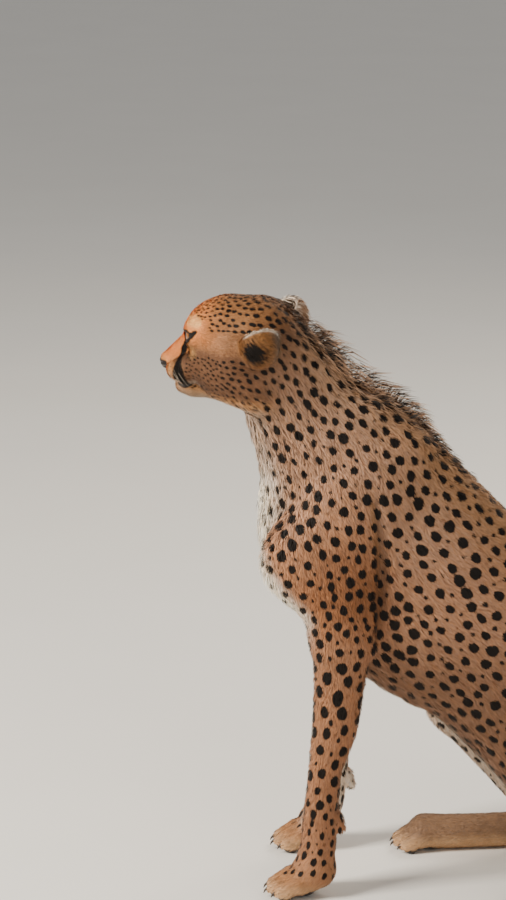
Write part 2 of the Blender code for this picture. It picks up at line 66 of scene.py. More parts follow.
EYE_AT = np.array((0.0305, -0.0655, 0.0125))
EYE_RADIUS = 0.0165
GAZE = (0.43, -0.90, 0.05)
LID_TILT = radians(22.0)
EYE_HALF = 0.0145
EAR_AT = (0.0585, 0.0400, 0.0160)
EAR_TIP = (0.50, 0.62, 0.60)
EAR_OPEN = (-0.50, -0.35, 0.79)
EAR_SIZE = (0.0280, 0.0335, 0.0355)
EAR_CUT = 0.010
EAR_LEAN = 0.10
EAR_WALL = 0.0042

FORELEG_X = (0.090, -0.091)
FOREPAW_X = (0.090, -0.125)
HIP = ((0.066, 0.462, 0.190), (-0.066, 0.455, 0.190))
KNEE = ((0.150, 0.330, 0.262), (-0.118, 0.200, 0.240))
HOCK = ((0.146, 0.492, 0.062), (-0.128, 0.328, 0.062))
HIND_TOE = ((0.150, 0.262), (-0.120, 0.098))

TRUNK = [(0, 0.022, 0.640, 0.122, 0.083), (0, 0.048, 0.565, 0.159, 0.094),
         (0, 0.096, 0.500, 0.169, 0.101), (0, 0.161, 0.440, 0.166, 0.106),
         (0, 0.235, 0.383, 0.151, 0.104), (0, 0.300, 0.318, 0.146, 0.100),
         (0, 0.358, 0.252, 0.143, 0.096), (0, 0.412, 0.188, 0.136, 0.094),
         (0, 0.455, 0.130, 0.122, 0.090), (0, 0.480, 0.092, 0.096, 0.080)]
NECK = [(0.003, -0.088, 0.806, 0.070, 0.056), (0.002, -0.060, 0.762, 0.084, 0.060),
        (0, -0.027, 0.702, 0.098, 0.066), (0, 0.020, 0.645, 0.121, 0.080)]
TAIL = [(0, 0.520, 0.085, 0.040, 0.040), (0.0, 0.566, 0.046, 0.031, 0.031),
        (0.020, 0.615, 0.026, 0.027, 0.027), (0.075, 0.672, 0.0235, 0.0245, 0.0245),
        (0.150, 0.696, 0.0225, 0.0235, 0.0235), (0.225, 0.688, 0.022, 0.023, 0.023),
        (0.288, 0.645, 0.022, 0.023, 0.023), (0.326, 0.580, 0.022, 0.023, 0.023),
        (0.342, 0.505, 0.023, 0.024, 0.024), (0.346, 0.435, 0.023, 0.0245, 0.0245),
        (0.344, 0.385, 0.0165, 0.017, 0.017)]
FOREARM = [(0.0120, 0.405, 0.0510, 0.0350), (0.0095, 0.372, 0.0435, 0.0320),
           (0.0060, 0.322, 0.0380, 0.0290), (0.0000, 0.262, 0.0345, 0.0260),
           (-0.0125, 0.205, 0.0265, 0.0230), (-0.0160, 0.172, 0.0255, 0.0235),
           (-0.0205, 0.126, 0.0265, 0.0265), (-0.0235, 0.080, 0.0270, 0.0275),
           (-0.0300, 0.046, 0.0285, 0.0310)]
RIGHT_LEG_BACK = [0.006, 0.008, 0.010, 0.013, 0.016, 0.019, 0.020, 0.017, 0.011]
TOES = ((-0.0275, 0.011, -0.0035), (-0.0098, 0.0, -0.001), (0.0098, 0.0, 0.001), (0.0275, 0.011, 0.0035))
HIND_TOES = ((-0.0260, 0.010, -0.003), (-0.0092, 0.0, -0.001), (0.0092, 0.0, 0.001), (0.0260, 0.010, 0.003))

MUSCLES = []
FAR = 0.08

# parts of the coat: hair length, hair width, share of cover
CATS = ["head", "neck", "trunk", "arm", "fore", "paw", "haunch", "shank", "foot", "tail"]
HAIR = dict(head=(0.0062, 0.00085, 2.0), neck=(0.0150, 0.00125, 2.1), trunk=(0.0120, 0.00135, 2.0),
            arm=(0.0105, 0.00125, 2.1), fore=(0.0085, 0.00110, 2.0), paw=(0.0062, 0.00095, 2.0),
            haunch=(0.0125, 0.00140, 1.9), shank=(0.0095, 0.00120, 1.9), foot=(0.0066, 0.00100, 1.9),
            tail=(0.0125, 0.00125, 2.0))


def unit(v):
    v = np.array(v, float)
    return v / np.linalg.norm(v)


def rows(V):
    return V / np.maximum(np.linalg.norm(V, axis=1, keepdims=True), 1e-9)


def ramp(x, a, b):
    t = np.clip((x - a) / (b - a), 0, 1)
    return t * t * (3 - 2 * t)


# ------------------------------------------------------------------ body form, as in the CAD
def cone(name, a, b, ra, rb, wa, wb, blend, group=None, cat="head", flow=None):
    MUSCLES.append(dict(a=np.array(a, float), b=np.array(b, float), ra=ra, rb=rb, wa=wa, wb=wb, k=blend,
                        group=group or name, side=np.array([1.0, 0, 0]), cat=CATS.index(cat),
                        flow=None if flow is None else unit(flow)))


def spline(stations, n):
    S = np.array(stations, float)
    E = np.vstack([2 * S[0] - S[1], S, 2 * S[-1] - S[-2]])
    out = []
    for i in range(len(S) - 1):
        p0, p1, p2, p3 = E[i], E[i + 1], E[i + 2], E[i + 3]
        for j in range(n):
            t = j / n
            out.append(0.5 * (2 * p1 + (p2 - p0) * t + (2 * p0 - 5 * p1 + 4 * p2 - p3) * t * t
                              + (3 * p1 - p0 - 3 * p2 + p3) * t ** 3))
    out.append(S[-1])
    return out


def chain(name, stations, blend, n=3, cat="head", flow=None):
    st = spline(stations, n)
    for i in range(len(st) - 1):
        p, q = st[i], st[i + 1]
        cone(name, p[:3], q[:3], p[3], q[3], p[4], q[4], blend, name, cat, flow)


def lerp(a, b, t):
    return [a[i] + (b[i] - a[i]) * t for i in range(3)]


def build_forms():
    chain("neck", NECK, 0.03, cat="neck")
    chain("trunk", TRUNK, 0.03, cat="trunk")
    for i, s in enumerate((1, -1)):
        n = "l" if s > 0 else "r"
        chain("blade_" + n, [(s * 0.040, 0.100, 0.672, 0.036, 0.028), (s * 0.064, 0.035, 0.600, 0.068, 0.042),
                             (s * 0.078, -0.038, 0.520, 0.066, 0.045)], 0.03, cat="trunk", flow=(0, 0.45, -0.9))
        wx = s * 0.090
        back = 0.0 if s > 0 else 0.004
        chain("arm_" + n, [(s * 0.078, -0.038, 0.520, 0.066, 0.045), (s * 0.086, 0.000, 0.455, 0.055, 0.040),
                           (wx, 0.012 + back, 0.405, 0.050, 0.034)], 0.025, cat="arm", flow=(0, 0.12, -1))
        chain("triceps_" + n, [(s * 0.072, 0.010, 0.600, 0.052, 0.036), (s * 0.084, 0.014, 0.520, 0.050, 0.036),
                               (s * 0.090, 0.030 + back, 0.432, 0.036, 0.026)], 0.02, cat="arm", flow=(0, 0.2, -1))
        cone("elbow_" + n, (wx, 0.052 + back, 0.436), (wx, 0.036 + back, 0.400), 0.017, 0.022, 0.015, 0.018, 0.015,
             cat="arm", flow=(0, 0.3, -1))
        m = len(FOREARM) - 1
        fx = [FORELEG_X[i] + (FOREPAW_X[i] - FORELEG_X[i]) * (j / m) for j in range(m + 1)]
        fy = [0.0] * (m + 1) if s > 0 else RIGHT_LEG_BACK
        chain("fore_" + n, [(fx[j], FOREARM[j][0] + fy[j]) + FOREARM[j][1:] for j in range(m + 1)], 0.012, cat="fore")
        cx, cy = fx[6], fy[6]
        cone("carpal_" + n, (cx, 0.004 + cy, 0.122), (cx, 0.011 + cy, 0.106), 0.011, 0.0085, 0.010, 0.008, 0.010, cat="fore")
        px, py = fx[m], fy[m]
        cone("palm_" + n, (px, -0.026 + py, 0.040), (px, -0.050 + py, 0.024), 0.029, 0.024, 0.032, 0.036, 0.012, cat="paw")
        for j, (tx, ty, sp) in enumerate(TOES):
            cone("toe%d_%s" % (j, n), (px + tx * 0.92, -0.064 + ty * 0.9 + py, 0.0285 - abs(tx) * 0.15),
                 (px + tx + sp, -0.0885 + ty + py, 0.0135), 0.0158, 0.0120, 0.0118, 0.0102, 0.005, cat="paw")
        hip, knee, hock = HIP[i], KNEE[i], HOCK[i]
        mid = lerp(hip, knee, 0.5)
        mid = (mid[0] + s * 0.012, mid[1], mid[2] - 0.010)
        cone("haunch_" + n, (s * 0.060, 0.475, 0.125), (hip[0], hip[1] - 0.01, hip[2]), 0.100, 0.112, 0.062, 0.058, 0.03,
             cat="haunch", flow=(0, 0.4, -0.9))
        cone("thigh_" + n, hip, mid, 0.112, 0.092, 0.058, 0.050, 0.03, "thigh_" + n, "haunch", (0, -0.15, -1))
        cone("thigh_" + n, mid, knee, 0.092, 0.050, 0.050, 0.036, 0.03, "thigh_" + n, "haunch", (0, -0.4, -0.9))
        calf = lerp(knee, hock, 0.45)
        calf[1] += 0.006
        cone("shank_" + n, knee, calf, 0.050, 0.044, 0.036, 0.031, 0.02, "shank_" + n, "shank")
        cone("shank_" + n, calf, hock, 0.044, 0.0275, 0.031, 0.021, 0.02, "shank_" + n, "shank")
        foot_x, ty = HIND_TOE[i]
        cone("heel_" + n, (hock[0], hock[1] + 0.014, 0.066), (hock[0], ty + 0.228, 0.030), 0.019, 0.0255, 0.017, 0.022,
             0.012, cat="shank")
        chain("foot_" + n, [(hock[0], ty + 0.222, 0.0285, 0.0280, 0.0230),
                            (0.5 * (hock[0] + foot_x), ty + 0.150, 0.0270, 0.0272, 0.0235),
                            (foot_x, ty + 0.085, 0.0265, 0.0268, 0.0290),
                            (foot_x, ty + 0.050, 0.0270, 0.0265, 0.0340)], 0.012, cat="foot")
        for j, (tx, dy, sp) in enumerate(HIND_TOES):
            cone("htoe%d_%s" % (j, n), (foot_x + tx * 0.92, ty + 0.039 + dy * 0.9, 0.0290 - abs(tx) * 0.15),
                 (foot_x + tx + sp, ty + 0.0125 + dy, 0.0135), 0.0165, 0.0120, 0.0112, 0.0098, 0.005, cat="foot")
    chain("tail", TAIL, 0.008, cat="tail")
    first = len(MUSCLES)
    cone("cranium", (0, -0.030, 0.013), (0, 0.022, 0.012), 0.051, 0.056, 0.052, 0.056, 0.02)
    cone("brow", (0, -0.056, 0.009), (0, -0.030, 0.008), 0.0375, 0.050, 0.040, 0.052, 0.02)
    cone("nape", (0, 0.016, 0.000), (0, 0.042, -0.022), 0.054, 0.054, 0.050, 0.050, 0.02)
    cone("bridge", (0, -0.076, -0.004), (0, -0.1255, -0.0390), 0.0215, 0.0118, 0.0205, 0.0150, 0.012,
         flow=(0, 0.8, 0.6))
    cone("jaw", (0, -0.088, -0.0755), (0, -0.020, -0.053), 0.0190, 0.040, 0.0215, 0.044, 0.016)
    cone("chin", (0, -0.1040, -0.0795), (0, -0.086, -0.0765), 0.0140, 0.0175, 0.0155, 0.0200, 0.012)
    cone("throat", (0, -0.080, -0.0700), (0, -0.022, -0.0680), 0.0230, 0.0330, 0.0230, 0.0400, 0.012)
    for s in (1, -1):
        n = "l" if s > 0 else "r"
        cone("lip_" + n, (s * 0.0150, -0.1065, -0.0500), (s * 0.0225, -0.087, -0.045), 0.0185, 0.0235, 0.0175, 0.0215, 0.010,
             flow=(s * 0.5, 0.85, -0.15))
        cone("cheek_" + n, (s * 0.033, -0.0545, -0.031), (s * 0.044, -0.008, -0.030), 0.0265, 0.040, 0.0235, 0.030, 0.02,
             flow=(s * 0.1, 0.95, -0.25))
        cone("arch_" + n, (s * 0.036, -0.0520, -0.004), (s * 0.050, -0.005, -0.004), 0.015, 0.030, 0.0135, 0.022, 0.018,
             flow=(s * 0.1, 1, 0))
        cone("ridge_" + n, (s * 0.027, -0.071, 0.0245), (s * 0.042, -0.046, 0.022), 0.0115, 0.015, 0.011, 0.014, 0.014)
        cone("ruff_" + n, (s * 0.036, -0.030, -0.055), (s * 0.046, 0.020, -0.060), 0.026, 0.036, 0.022, 0.028, 0.025,
             flow=(s * 0.15, 0.8, -0.55))
    for q in MUSCLES[first:]:
        q["a"] = TURN @ q["a"] + HEAD_AT
        q["b"] = TURN @ q["b"] + HEAD_AT
        q["side"] = TURN @ q["side"]
        if q["flow"] is not None:
            q["flow"] = TURN @ q["flow"]


def head_turn():
    cy, sy, cr, sr = cos(HEAD_YAW), sin(HEAD_YAW), cos(HEAD_ROLL), sin(HEAD_ROLL)
    return (np.array([[cy, sy, 0], [-sy, cy, 0], [0, 0, 1.0]])
            @ np.array([[cr, 0, sr], [0, 1, 0], [-sr, 0, cr]]))


TURN = head_turn()
build_forms()
GROUPS = []
for _q in MUSCLES:
    if _q["group"] not in GROUPS:
        GROUPS.append(_q["group"])
GROUP_OF = np.array([GROUPS.index(q["group"]) for q in MUSCLES])
REACH = np.array([max(q["ra"], q["rb"], q["wa"], q["wb"]) + q["k"] + 0.045 for q in MUSCLES])[:, None]
LOW = np.array([np.minimum(q["a"], q["b"]) for q in MUSCLES]) - REACH
HIGH = np.array([np.maximum(q["a"], q["b"]) for q in MUSCLES]) + REACH


def cone_distance(q, P):
    ba = q["b"] - q["a"]
    pa = P - q["a"]
    t = np.clip(pa @ ba / max(ba @ ba, 1e-12), 0, 1)
    r = q["ra"] + (q["rb"] - q["ra"]) * t
    w = q["wa"] + (q["wb"] - q["wa"]) * t
    d = pa - t[:, None] * ba
    u = ba / max(np.linalg.norm(ba), 1e-9)
    lat = q["side"] - (q["side"] @ u) * u
    lat = lat / max(np.linalg.norm(lat), 1e-9)
    x = d @ lat
    m2 = np.maximum((d * d).sum(1) - x * x, 0)
    k0 = np.sqrt((x / w) ** 2 + m2 / (r * r))
    k1 = np.sqrt((x / (w * w)) ** 2 + m2 / (r ** 4))
    return np.where(k0 > 1e-4, k0 * (k0 - 1) / np.maximum(k1, 1e-9), -np.minimum(r, w))


def smin(a, b, k):
    h = np.clip(k - np.abs(a - b), 0, None) / k
    return np.minimum(a, b) - h * h * k * 0.25


def smax(a, b, k):
    return -smin(-a, -b, k)


def bins(P, size=0.08):
    """Indices of the points in each occupied cube of space."""
    c = np.floor(P / size).astype(np.int64) + 512
    key = (c[:, 0] * 1024 + c[:, 1]) * 1024 + c[:, 2]
    order = np.argsort(key, kind="stable")
    k = key[order]
    first = np.nonzero(np.r_[True, k[1:] != k[:-1]])[0]
    for s, e in zip(first, np.r_[first[1:], len(k)]):
        yield order[s:e]


def body(P):
    """Signed distance to the tips of the coat."""
    F = np.full(len(P), FAR)
    for idx in bins(P):
        p = P[idx]
        hit = np.nonzero(((LOW < p.max(0)) & (HIGH > p.min(0))).all(1))[0]
        f = F[idx]
        i = 0
        while i < len(hit):
            g = GROUP_OF[hit[i]]
            D = cone_distance(MUSCLES[hit[i]], p)
            i += 1
            while i < len(hit) and GROUP_OF[hit[i]] == g:
                D = np.minimum(D, cone_distance(MUSCLES[hit[i]], p))
                i += 1
            f = smin(f, D, MUSCLES[hit[i - 1]]["k"])
        F[idx] = f
    return F


def anatomy(P):
    """Lie of the coat and share of each body part at the points P."""
    flow = np.zeros((len(P), 3))
    cats = np.zeros((len(P), len(CATS)))
    for idx in bins(P):
        p = P[idx]
        hit = np.nonzero(((LOW < p.max(0)) & (HIGH > p.min(0))).all(1))[0]
        Ds, axes, ks = [], [], []
        for i in hit:
            q = MUSCLES[i]
            Ds.append(cone_distance(q, p))
            axes.append(unit(q["b"] - q["a"]) if q["flow"] is None else q["flow"])
            ks.append(q["cat"])
        D = np.array(Ds)
        W = np.exp(-np.clip((D - D.min(0)) / 0.011, 0, 30))
        flow[idx] = W.T @ np.array(axes)
        for c in set(ks):
            cats[idx, c] = W[[j for j, k in enumerate(ks) if k == c]].sum(0)
    cats /= cats.sum(1, keepdims=True)
    return flow, cats


# ------------------------------------------------------------------ hide under the coat
def to_head(P):
    return (P - HEAD_AT) @ TURN


def crest(P):
    """How much of the long hair along the nape and withers stands at P."""
    t = P[:, 1] * 0.8 + P[:, 2] * 0.6
    return (np.exp(-(P[:, 0] / 0.030) ** 2) * ramp(t, 0.41, 0.46) * ramp(P[:, 1], -0.11, -0.04)
            * (1 - ramp(P[:, 1], 0.06, 0.26)))


def inset(P):
    """Depth of the coat."""
    z = P[:, 2]
    d = 0.0014 + 0.0014 * ramp(z, 0.05, 0.12) + 0.0016 * ramp(z, 0.24, 0.42)
    h = np.linalg.norm(to_head(P) - (0, -0.050, -0.015), axis=1)
    k = 1 - ramp(h, 0.085, 0.150)
    return d * (1 - k) + 0.0020 * k + 0.0050 * crest(P)


def ear_frame(s):
    t = unit(EAR_TIP)
    o = np.array(EAR_OPEN) - (np.array(EAR_OPEN) @ t) * t
    o /= np.linalg.norm(o)
    M = np.stack([np.cross(t, o), t, o])
    M[:, 0] *= s
    return TURN @ (np.array(EAR_AT) * (s, 1, 1)) + HEAD_AT, M @ TURN.T


def ellipsoid(q, r):
    r = np.array(r, float)
    k0 = np.sqrt(((q / r) ** 2).sum(1))
    k1 = np.sqrt(((q / (r * r)) ** 2).sum(1))
    return np.where(k0 > 1e-3, k0 * (k0 - 1) / np.maximum(k1, 1e-9), -r.min())


def add_ears(P, F):
    for s in (1, -1):
        c, M = ear_frame(s)
        sel = np.nonzero((np.abs(P - c) < 0.07).all(1))[0]
        if len(sel) == 0:
            continue
        q = (P[sel] - c) @ M.T
        r = np.array(EAR_SIZE) - 0.0010
        rim = q[:, 2] - EAR_CUT - EAR_LEAN * q[:, 1]
        skull = F[sel]
        cup = smax(ellipsoid(q, r), rim, 0.004)
        inner = ellipsoid(q - (0, 0, 0.0015), r - 0.0034)
        inner = smax(smax(inner, rim - 0.004, 0.006), -skull - 0.012, 0.006)
        F[sel] = smax(smin(skull, cup, 0.012), -inner, 0.003)
    return F


def eye_axes():
    g = unit(GAZE)
    h0 = unit((-g[1], g[0], 0))
    w0 = np.cross(g, h0)
    c, s = cos(LID_TILT), sin(LID_TILT)
    return c * h0 + s * w0, c * w0 - s * h0, g


EH, EW, EG = eye_axes()


def lid_opening(L):
    """Distance in the plane of the lids to the rim of the opening, and depth towards the gaze, for one mirrored side."""
    q = L - EYE_AT
    h, w, g = q @ EH, q @ EW, q @ EG
    x = h / EYE_HALF
    bow = np.sqrt(np.clip(1 - x * x, 0, None))
    up = 0.0068 * bow ** 1.10 * (1 - 0.30 * x)
    lo = -0.0064 * bow ** 1.25 * (1 - 0.22 * x) - 0.0010 * ramp(-x, 0.45, 1.0)
    a = np.maximum(w - up, lo - w)
    a = np.where(np.abs(x) > 1, np.hypot(np.abs(h) - EYE_HALF, w), a * 0.85)
    return a, g, np.linalg.norm(q, axis=1)


def path_distance(L, pts):
    """Distance to a path of points, each with its own radius."""
    best = np.full(len(L), 1.0)
    for p, q in zip(pts, pts[1:]):
        a, b = np.array(p[:3]), np.array(q[:3])
        ba = b - a
        t = np.clip((L - a) @ ba / max(ba @ ba, 1e-12), 0, 1)
        d = np.linalg.norm(L - a - t[:, None] * ba, axis=1) - (p[3] + (q[3] - p[3]) * t)
        best = np.minimum(best, d)
    return best


def bare_form(P):
    """The hide before the face is cut into it."""
    return body(P) + inset(P)


def laid(path, every=0.003):
    """A path of the left side of the head, laid on the hide point by point."""
    out = []
    for p, q in zip(path, path[1:]):
        p, q = np.array(p, float), np.array(q, float)
        m = max(1, int(np.ceil(np.linalg.norm(q[:3] - p[:3]) / every)))
        out += [p + (q - p) * (i / m) for i in range(m)]
    out.append(np.array(path[-1], float))
    out = np.array(out)
    P = out[:, :3] @ TURN.T + HEAD_AT
    for _ in range(12):
        g = np.stack([bare_form(P + d) - bare_form(P - d) for d in np.eye(3) * 0.0005], 1) / 0.001
        P = P - bare_form(P)[:, None] * rows(g)
    L = to_head(P)
    L[np.abs(out[:, 0]) < 1e-6, 0] = 0.0
    return [tuple(l) + (r,) for l, r in zip(L, out[:, 3])]


MOUTH = laid([(0.0000, -0.1120, -0.0700, 0.0011), (0.0080, -0.1110, -0.0722, 0.0013), (0.0149, -0.1050, -0.0742, 0.0015),
              (0.0200, -0.0975, -0.0742, 0.0016), (0.0242, -0.0890, -0.0712, 0.0014), (0.0290, -0.0820, -0.0675, 0.0006)])


def face(L, F):
    M = L * (1, 1, 1)
    M[:, 0] = np.abs(M[:, 0])
    # nose leather, nostrils, groove under the nose
    F = smin(F, ellipsoid(M - (0, -0.1308, -0.0420), (0.0155, 0.0085, 0.0082)), 0.004)
    F = smin(F, ellipsoid(M - (0, -0.1310, -0.0480), (0.0080, 0.0066, 0.0080)), 0.004)
    nostril = np.minimum(ellipsoid(M - (0.0072, -0.1388, -0.0440), (0.0037, 0.0062, 0.0030)),
                         path_distance(M, [(0.0078, -0.1385, -0.0440, 0.0018), (0.0140, -0.1330, -0.0412, 0.0014),
                                           (0.0168, -0.1270, -0.0405, 0.0006)]))
    F = smax(F, -nostril, 0.0012)
    F = smax(F, -path_distance(M, [(0, -0.1385, -0.0500, 0.0006), (0, -0.1280, -0.0575, 0.0012), (0, -0.1150, -0.0690, 0.0012)]), 0.002)
    # mouth
    F = smax(F, -path_distance(M, MOUTH), 0.0022)
    # eyelids over the ball
    a, g, r = lid_opening(M)
    F = smin(F, r - (EYE_RADIUS + 0.0026 + 0.0009 * ramp((M - EYE_AT) @ EW, 0.002, 0.008)), 0.007)
    F = smax(F, -np.maximum(a, 0.006 - g), 0.0014)
    F = np.maximum(F, -(r - (EYE_RADIUS + 0.0003)))
    # tear groove at the inner corner
    F = smax(F, -path_distance(M, [(0.0205, -0.0815, 0.0085, 0.0012), (0.0190, -0.0885, -0.0010, 0.0008)]), 0.003)
    return F


def pads():
    out = []
    for i, s in enumerate((1, -1)):
        px = FOREPAW_X[i]
        py = 0.0 if s > 0 else RIGHT_LEG_BACK[-1]
        for tx, ty, sp in TOES:
            out.append(((px + tx + sp * 0.8, -0.0845 + ty + py, 0.0085), (0.0085, 0.0115, 0.0095)))
        out.append(((px, -0.044 + py, 0.0110), (0.0230, 0.0170, 0.0120)))
        fx, ty = HIND_TOE[i]
        for tx, dy, sp in HIND_TOES:
            out.append(((fx + tx + sp * 0.8, ty + 0.0165 + dy, 0.0085), (0.0082, 0.0110, 0.0095)))
        out.append(((fx, ty + 0.058, 0.0110), (0.0210, 0.0170, 0.0120)))
    return out


PADS = pads()


FOLD = [(0.1005, 0.0570, 0.615, 0.003), (0.1025, 0.0615, 0.587, 0.005), (0.1010, 0.0660, 0.548, 0.007), (0.0985, 0.0680, 0.509, 0.008),
        (0.0985, 0.0680, 0.471, 0.008), (0.1020, 0.0670, 0.434, 0.007), (0.1020, 0.0610, 0.405, 0.004)]


def fold_distance(P):
    """Distance to the fold behind each upper arm."""
    return path_distance(np.stack([np.abs(P[:, 0]), P[:, 1], P[:, 2]], 1), FOLD)


def hide(P):
    """Signed distance to the skin."""
    F = body(P) + inset(P)
    near = np.nonzero((np.abs(np.abs(P) - (0.10, 0.06, 0.51)) < (0.04, 0.04, 0.15)).all(1))[0]
    if len(near):
        F[near] = smax(F[near], -fold_distance(P[near]), 0.012)
    sel = np.nonzero((np.abs(P - HEAD_AT) < 0.17).all(1))[0]
    if len(sel):
        F[sel] = face(to_head(P[sel]), F[sel])
        F = add_ears(P, F)
    low = np.nonzero(P[:, 2] < 0.035)[0]
    if len(low):
        p, f = P[low], F[low]
        for c, r in PADS:
            near = np.nonzero((np.abs(p - c) < 0.045).all(1))[0]
            if len(near):
                f[near] = smin(f[near], ellipsoid(p[near] - c, r), 0.003)
        F[low] = f
    return np.maximum(F, -P[:, 2])


# ------------------------------------------------------------------ surfacing
def lattice(f, lo, hi, h):
    """Values of f on a lattice, worked out finely only near its surface."""
    B = 4
    lo = np.array(lo, float)
    nb = np.ceil((np.array(hi) - lo) / (h * B)).astype(int) + 1
    idx = np.stack(np.meshgrid(*[np.arange(k) for k in nb], indexing="ij"), -1).reshape(-1, 3)
    c = f(lo + (idx * B + (B - 1) / 2.0) * h)
    V = np.repeat(np.repeat(np.repeat(c.reshape(nb), B, 0), B, 1), B, 2)
    bi = idx[np.abs(c) < h * B * 1.5]
    off = np.stack(np.meshgrid(*[np.arange(B)] * 3, indexing="ij"), -1).reshape(-1, 3)
    pts = (bi[:, None, :] * B + off[None]).reshape(-1, 3)
    V[pts[:, 0], pts[:, 1], pts[:, 2]] = f(lo + pts * h)
    return V, lo


def surface(V, lo, h):
    """Naive surface nets: one vertex a cell, one quad a crossed lattice edge."""
    n = np.array(V.shape)
    inside = V < 0
    cs = tuple(n - 1)
    cnt = np.zeros(cs, np.int8)
    corners = [(i, j, k) for i in (0, 1) for j in (0, 1) for k in (0, 1)]
    for i, j, k in corners:
        cnt += inside[i:i + cs[0], j:j + cs[1], k:k + cs[2]]
    cells = np.argwhere((cnt > 0) & (cnt < 8))
    cid = np.full(cs, -1, np.int64)
    cid[cells[:, 0], cells[:, 1], cells[:, 2]] = np.arange(len(cells))
    acc = np.zeros((len(cells), 3))
    num = np.zeros(len(cells))
    for a in corners:
        for ax in range(3):
            if a[ax]:
                continue
            b = list(a)
            b[ax] = 1
            va = V[cells[:, 0] + a[0], cells[:, 1] + a[1], cells[:, 2] + a[2]]
            vb = V[cells[:, 0] + b[0], cells[:, 1] + b[1], cells[:, 2] + b[2]]
            cross = (va < 0) != (vb < 0)
            t = np.where(cross, va / np.where(cross, va - vb, 1), 0)
            p = np.array(a, float)[None] + t[:, None] * (np.array(b) - np.array(a))[None]
            acc += np.where(cross[:, None], p, 0)
            num += cross
    verts = lo + (cells + acc / np.maximum(num, 1)[:, None]) * h
    quads = []
    for ax in range(3):
        b1, b2 = (ax + 1) % 3, (ax + 2) % 3
        s0, s1 = [slice(None)] * 3, [slice(None)] * 3
        s0[ax], s1[ax] = slice(0, n[ax] - 1), slice(1, n[ax])
        A, Z = inside[tuple(s0)], inside[tuple(s1)]
        e = np.argwhere(A != Z)
        e = e[(e[:, b1] > 0) & (e[:, b2] > 0) & (e[:, b1] < n[b1] - 1) & (e[:, b2] < n[b2] - 1)]
        flip = A[e[:, 0], e[:, 1], e[:, 2]]
        ring = []
        for d1, d2 in ((1, 1), (0, 1), (0, 0), (1, 0)):
            c = e.copy()
            c[:, b1] -= d1
            c[:, b2] -= d2
            ring.append(cid[c[:, 0], c[:, 1], c[:, 2]])
        q = np.stack(ring, 1)
        quads.append(np.where(flip[:, None], q, q[:, ::-1]))
    return verts, np.concatenate(quads)


def settle(f, P, h):
    """Slide vertices onto the true surface."""
    for _ in range(2):
        g = np.empty_like(P)
        for i in range(3):
            d = np.zeros(3)
            d[i] = 0.0004
            g[:, i] = (f(P + d) - f(P - d)) / 0.0008
        s = f(P) / np.maximum((g * g).sum(1), 0.3)
        P = P - np.clip(s, -0.5 * h, 0.5 * h)[:, None] * g
    return P


NAPE = (np.array((0, -0.075, 0.775)), unit((0, -0.607, 0.795)))


def patch(lo, hi, h, side):
    """The hide inside a box, on one side of the nape plane."""
    p, n = NAPE
    lo, hi = np.array(lo, float), np.array(hi, float)

    def f(P):
        F = hide(P)
        F = np.maximum(F, side * ((P - p) @ n) - 2.5 * h)
        return np.maximum(F, np.maximum(lo - P, P - hi).max(1))

    V, o = lattice(f, lo - 4 * h, hi + 4 * h, h)
    verts, quads = surface(V, o, h)
    verts = settle(f, verts, h)
    verts[:, 2] = np.maximum(verts[:, 2], 0.0)
    me = bpy.data.meshes.new("patch")
    me.from_pydata(verts.tolist(), [], quads.tolist())
    bm = bmesh.new()
    bm.from_mesh(me)
    bpy.data.meshes.remove(me)
    co = p + n * (0.0 if side < 0 else -0.35 * h)
    bmesh.ops.bisect_plane(bm, geom=bm.verts[:] + bm.edges[:] + bm.faces[:], dist=1e-6, plane_co=Vector(co),
                           plane_no=Vector(n * -side), clear_inner=True)
    bmesh.ops.triangulate(bm, faces=bm.faces[:])
    bmesh.ops.remove_doubles(bm, verts=bm.verts[:], dist=6e-5)
    keep_largest(bm)
    bm.verts.index_update()
    V = np.array([v.co for v in bm.verts])
    T = np.array([[v.index for v in f.verts] for f in bm.faces if len(f.verts) == 3])
    rim = [e for e in bm.edges if e.is_boundary]
    nxt = {}
    for e in rim:
        a, b = e.verts[0].index, e.verts[1].index
        nxt.setdefault(a, []).append(b)
        nxt.setdefault(b, []).append(a)
    bm.free()
    ring = sorted(nxt)
    return V, T, np.array(ring)


def keep_largest(bm):
    seen, best = set(), []
    bm.verts.index_update()
    for v in bm.verts:
        if v.index in seen:
            continue
        shell, stack = [], [v]
        seen.add(v.index)
        while stack:
            w = stack.pop()
            shell.append(w)
            for e in w.link_edges:
                x = e.other_vert(w)
                if x.index not in seen:
                    seen.add(x.index)
                    stack.append(x)
        if len(shell) > len(best):
            best = shell
    keep = set(v.index for v in best)
    bmesh.ops.delete(bm, geom=[v for v in bm.verts if v.index not in keep], context="VERTS")


def join_rings(V, A, B):
    """Triangles between two rings of vertices that lie close to one plane."""
    n = NAPE[1]
    c = V[np.r_[A, B]].mean(0)
    e1 = unit(np.cross(n, (1, 0, 0)))
    e2 = np.cross(n, e1)
    angA = np.arctan2((V[A] - c) @ e2, (V[A] - c) @ e1)
    angB = np.arctan2((V[B] - c) @ e2, (V[B] - c) @ e1)
    A, angA = A[np.argsort(angA)], np.sort(angA)
    B, angB = B[np.argsort(angB)], np.sort(angB)
    tris, i, j = [], 0, 0
    while i < len(A) or j < len(B):
        na = angA[i + 1] if i + 1 < len(A) else (angA[0] + 2 * pi if i < len(A) else 99)
        nb = angB[j + 1] if j + 1 < len(B) else (angB[0] + 2 * pi if j < len(B) else 99)
        a, b = A[i % len(A)], B[j % len(B)]
        if na <= nb:
            tris.append((a, A[(i + 1) % len(A)], b))
            i += 1
        else:
            tris.append((a, B[(j + 1) % len(B)], b))
            j += 1
    return np.array(tris)


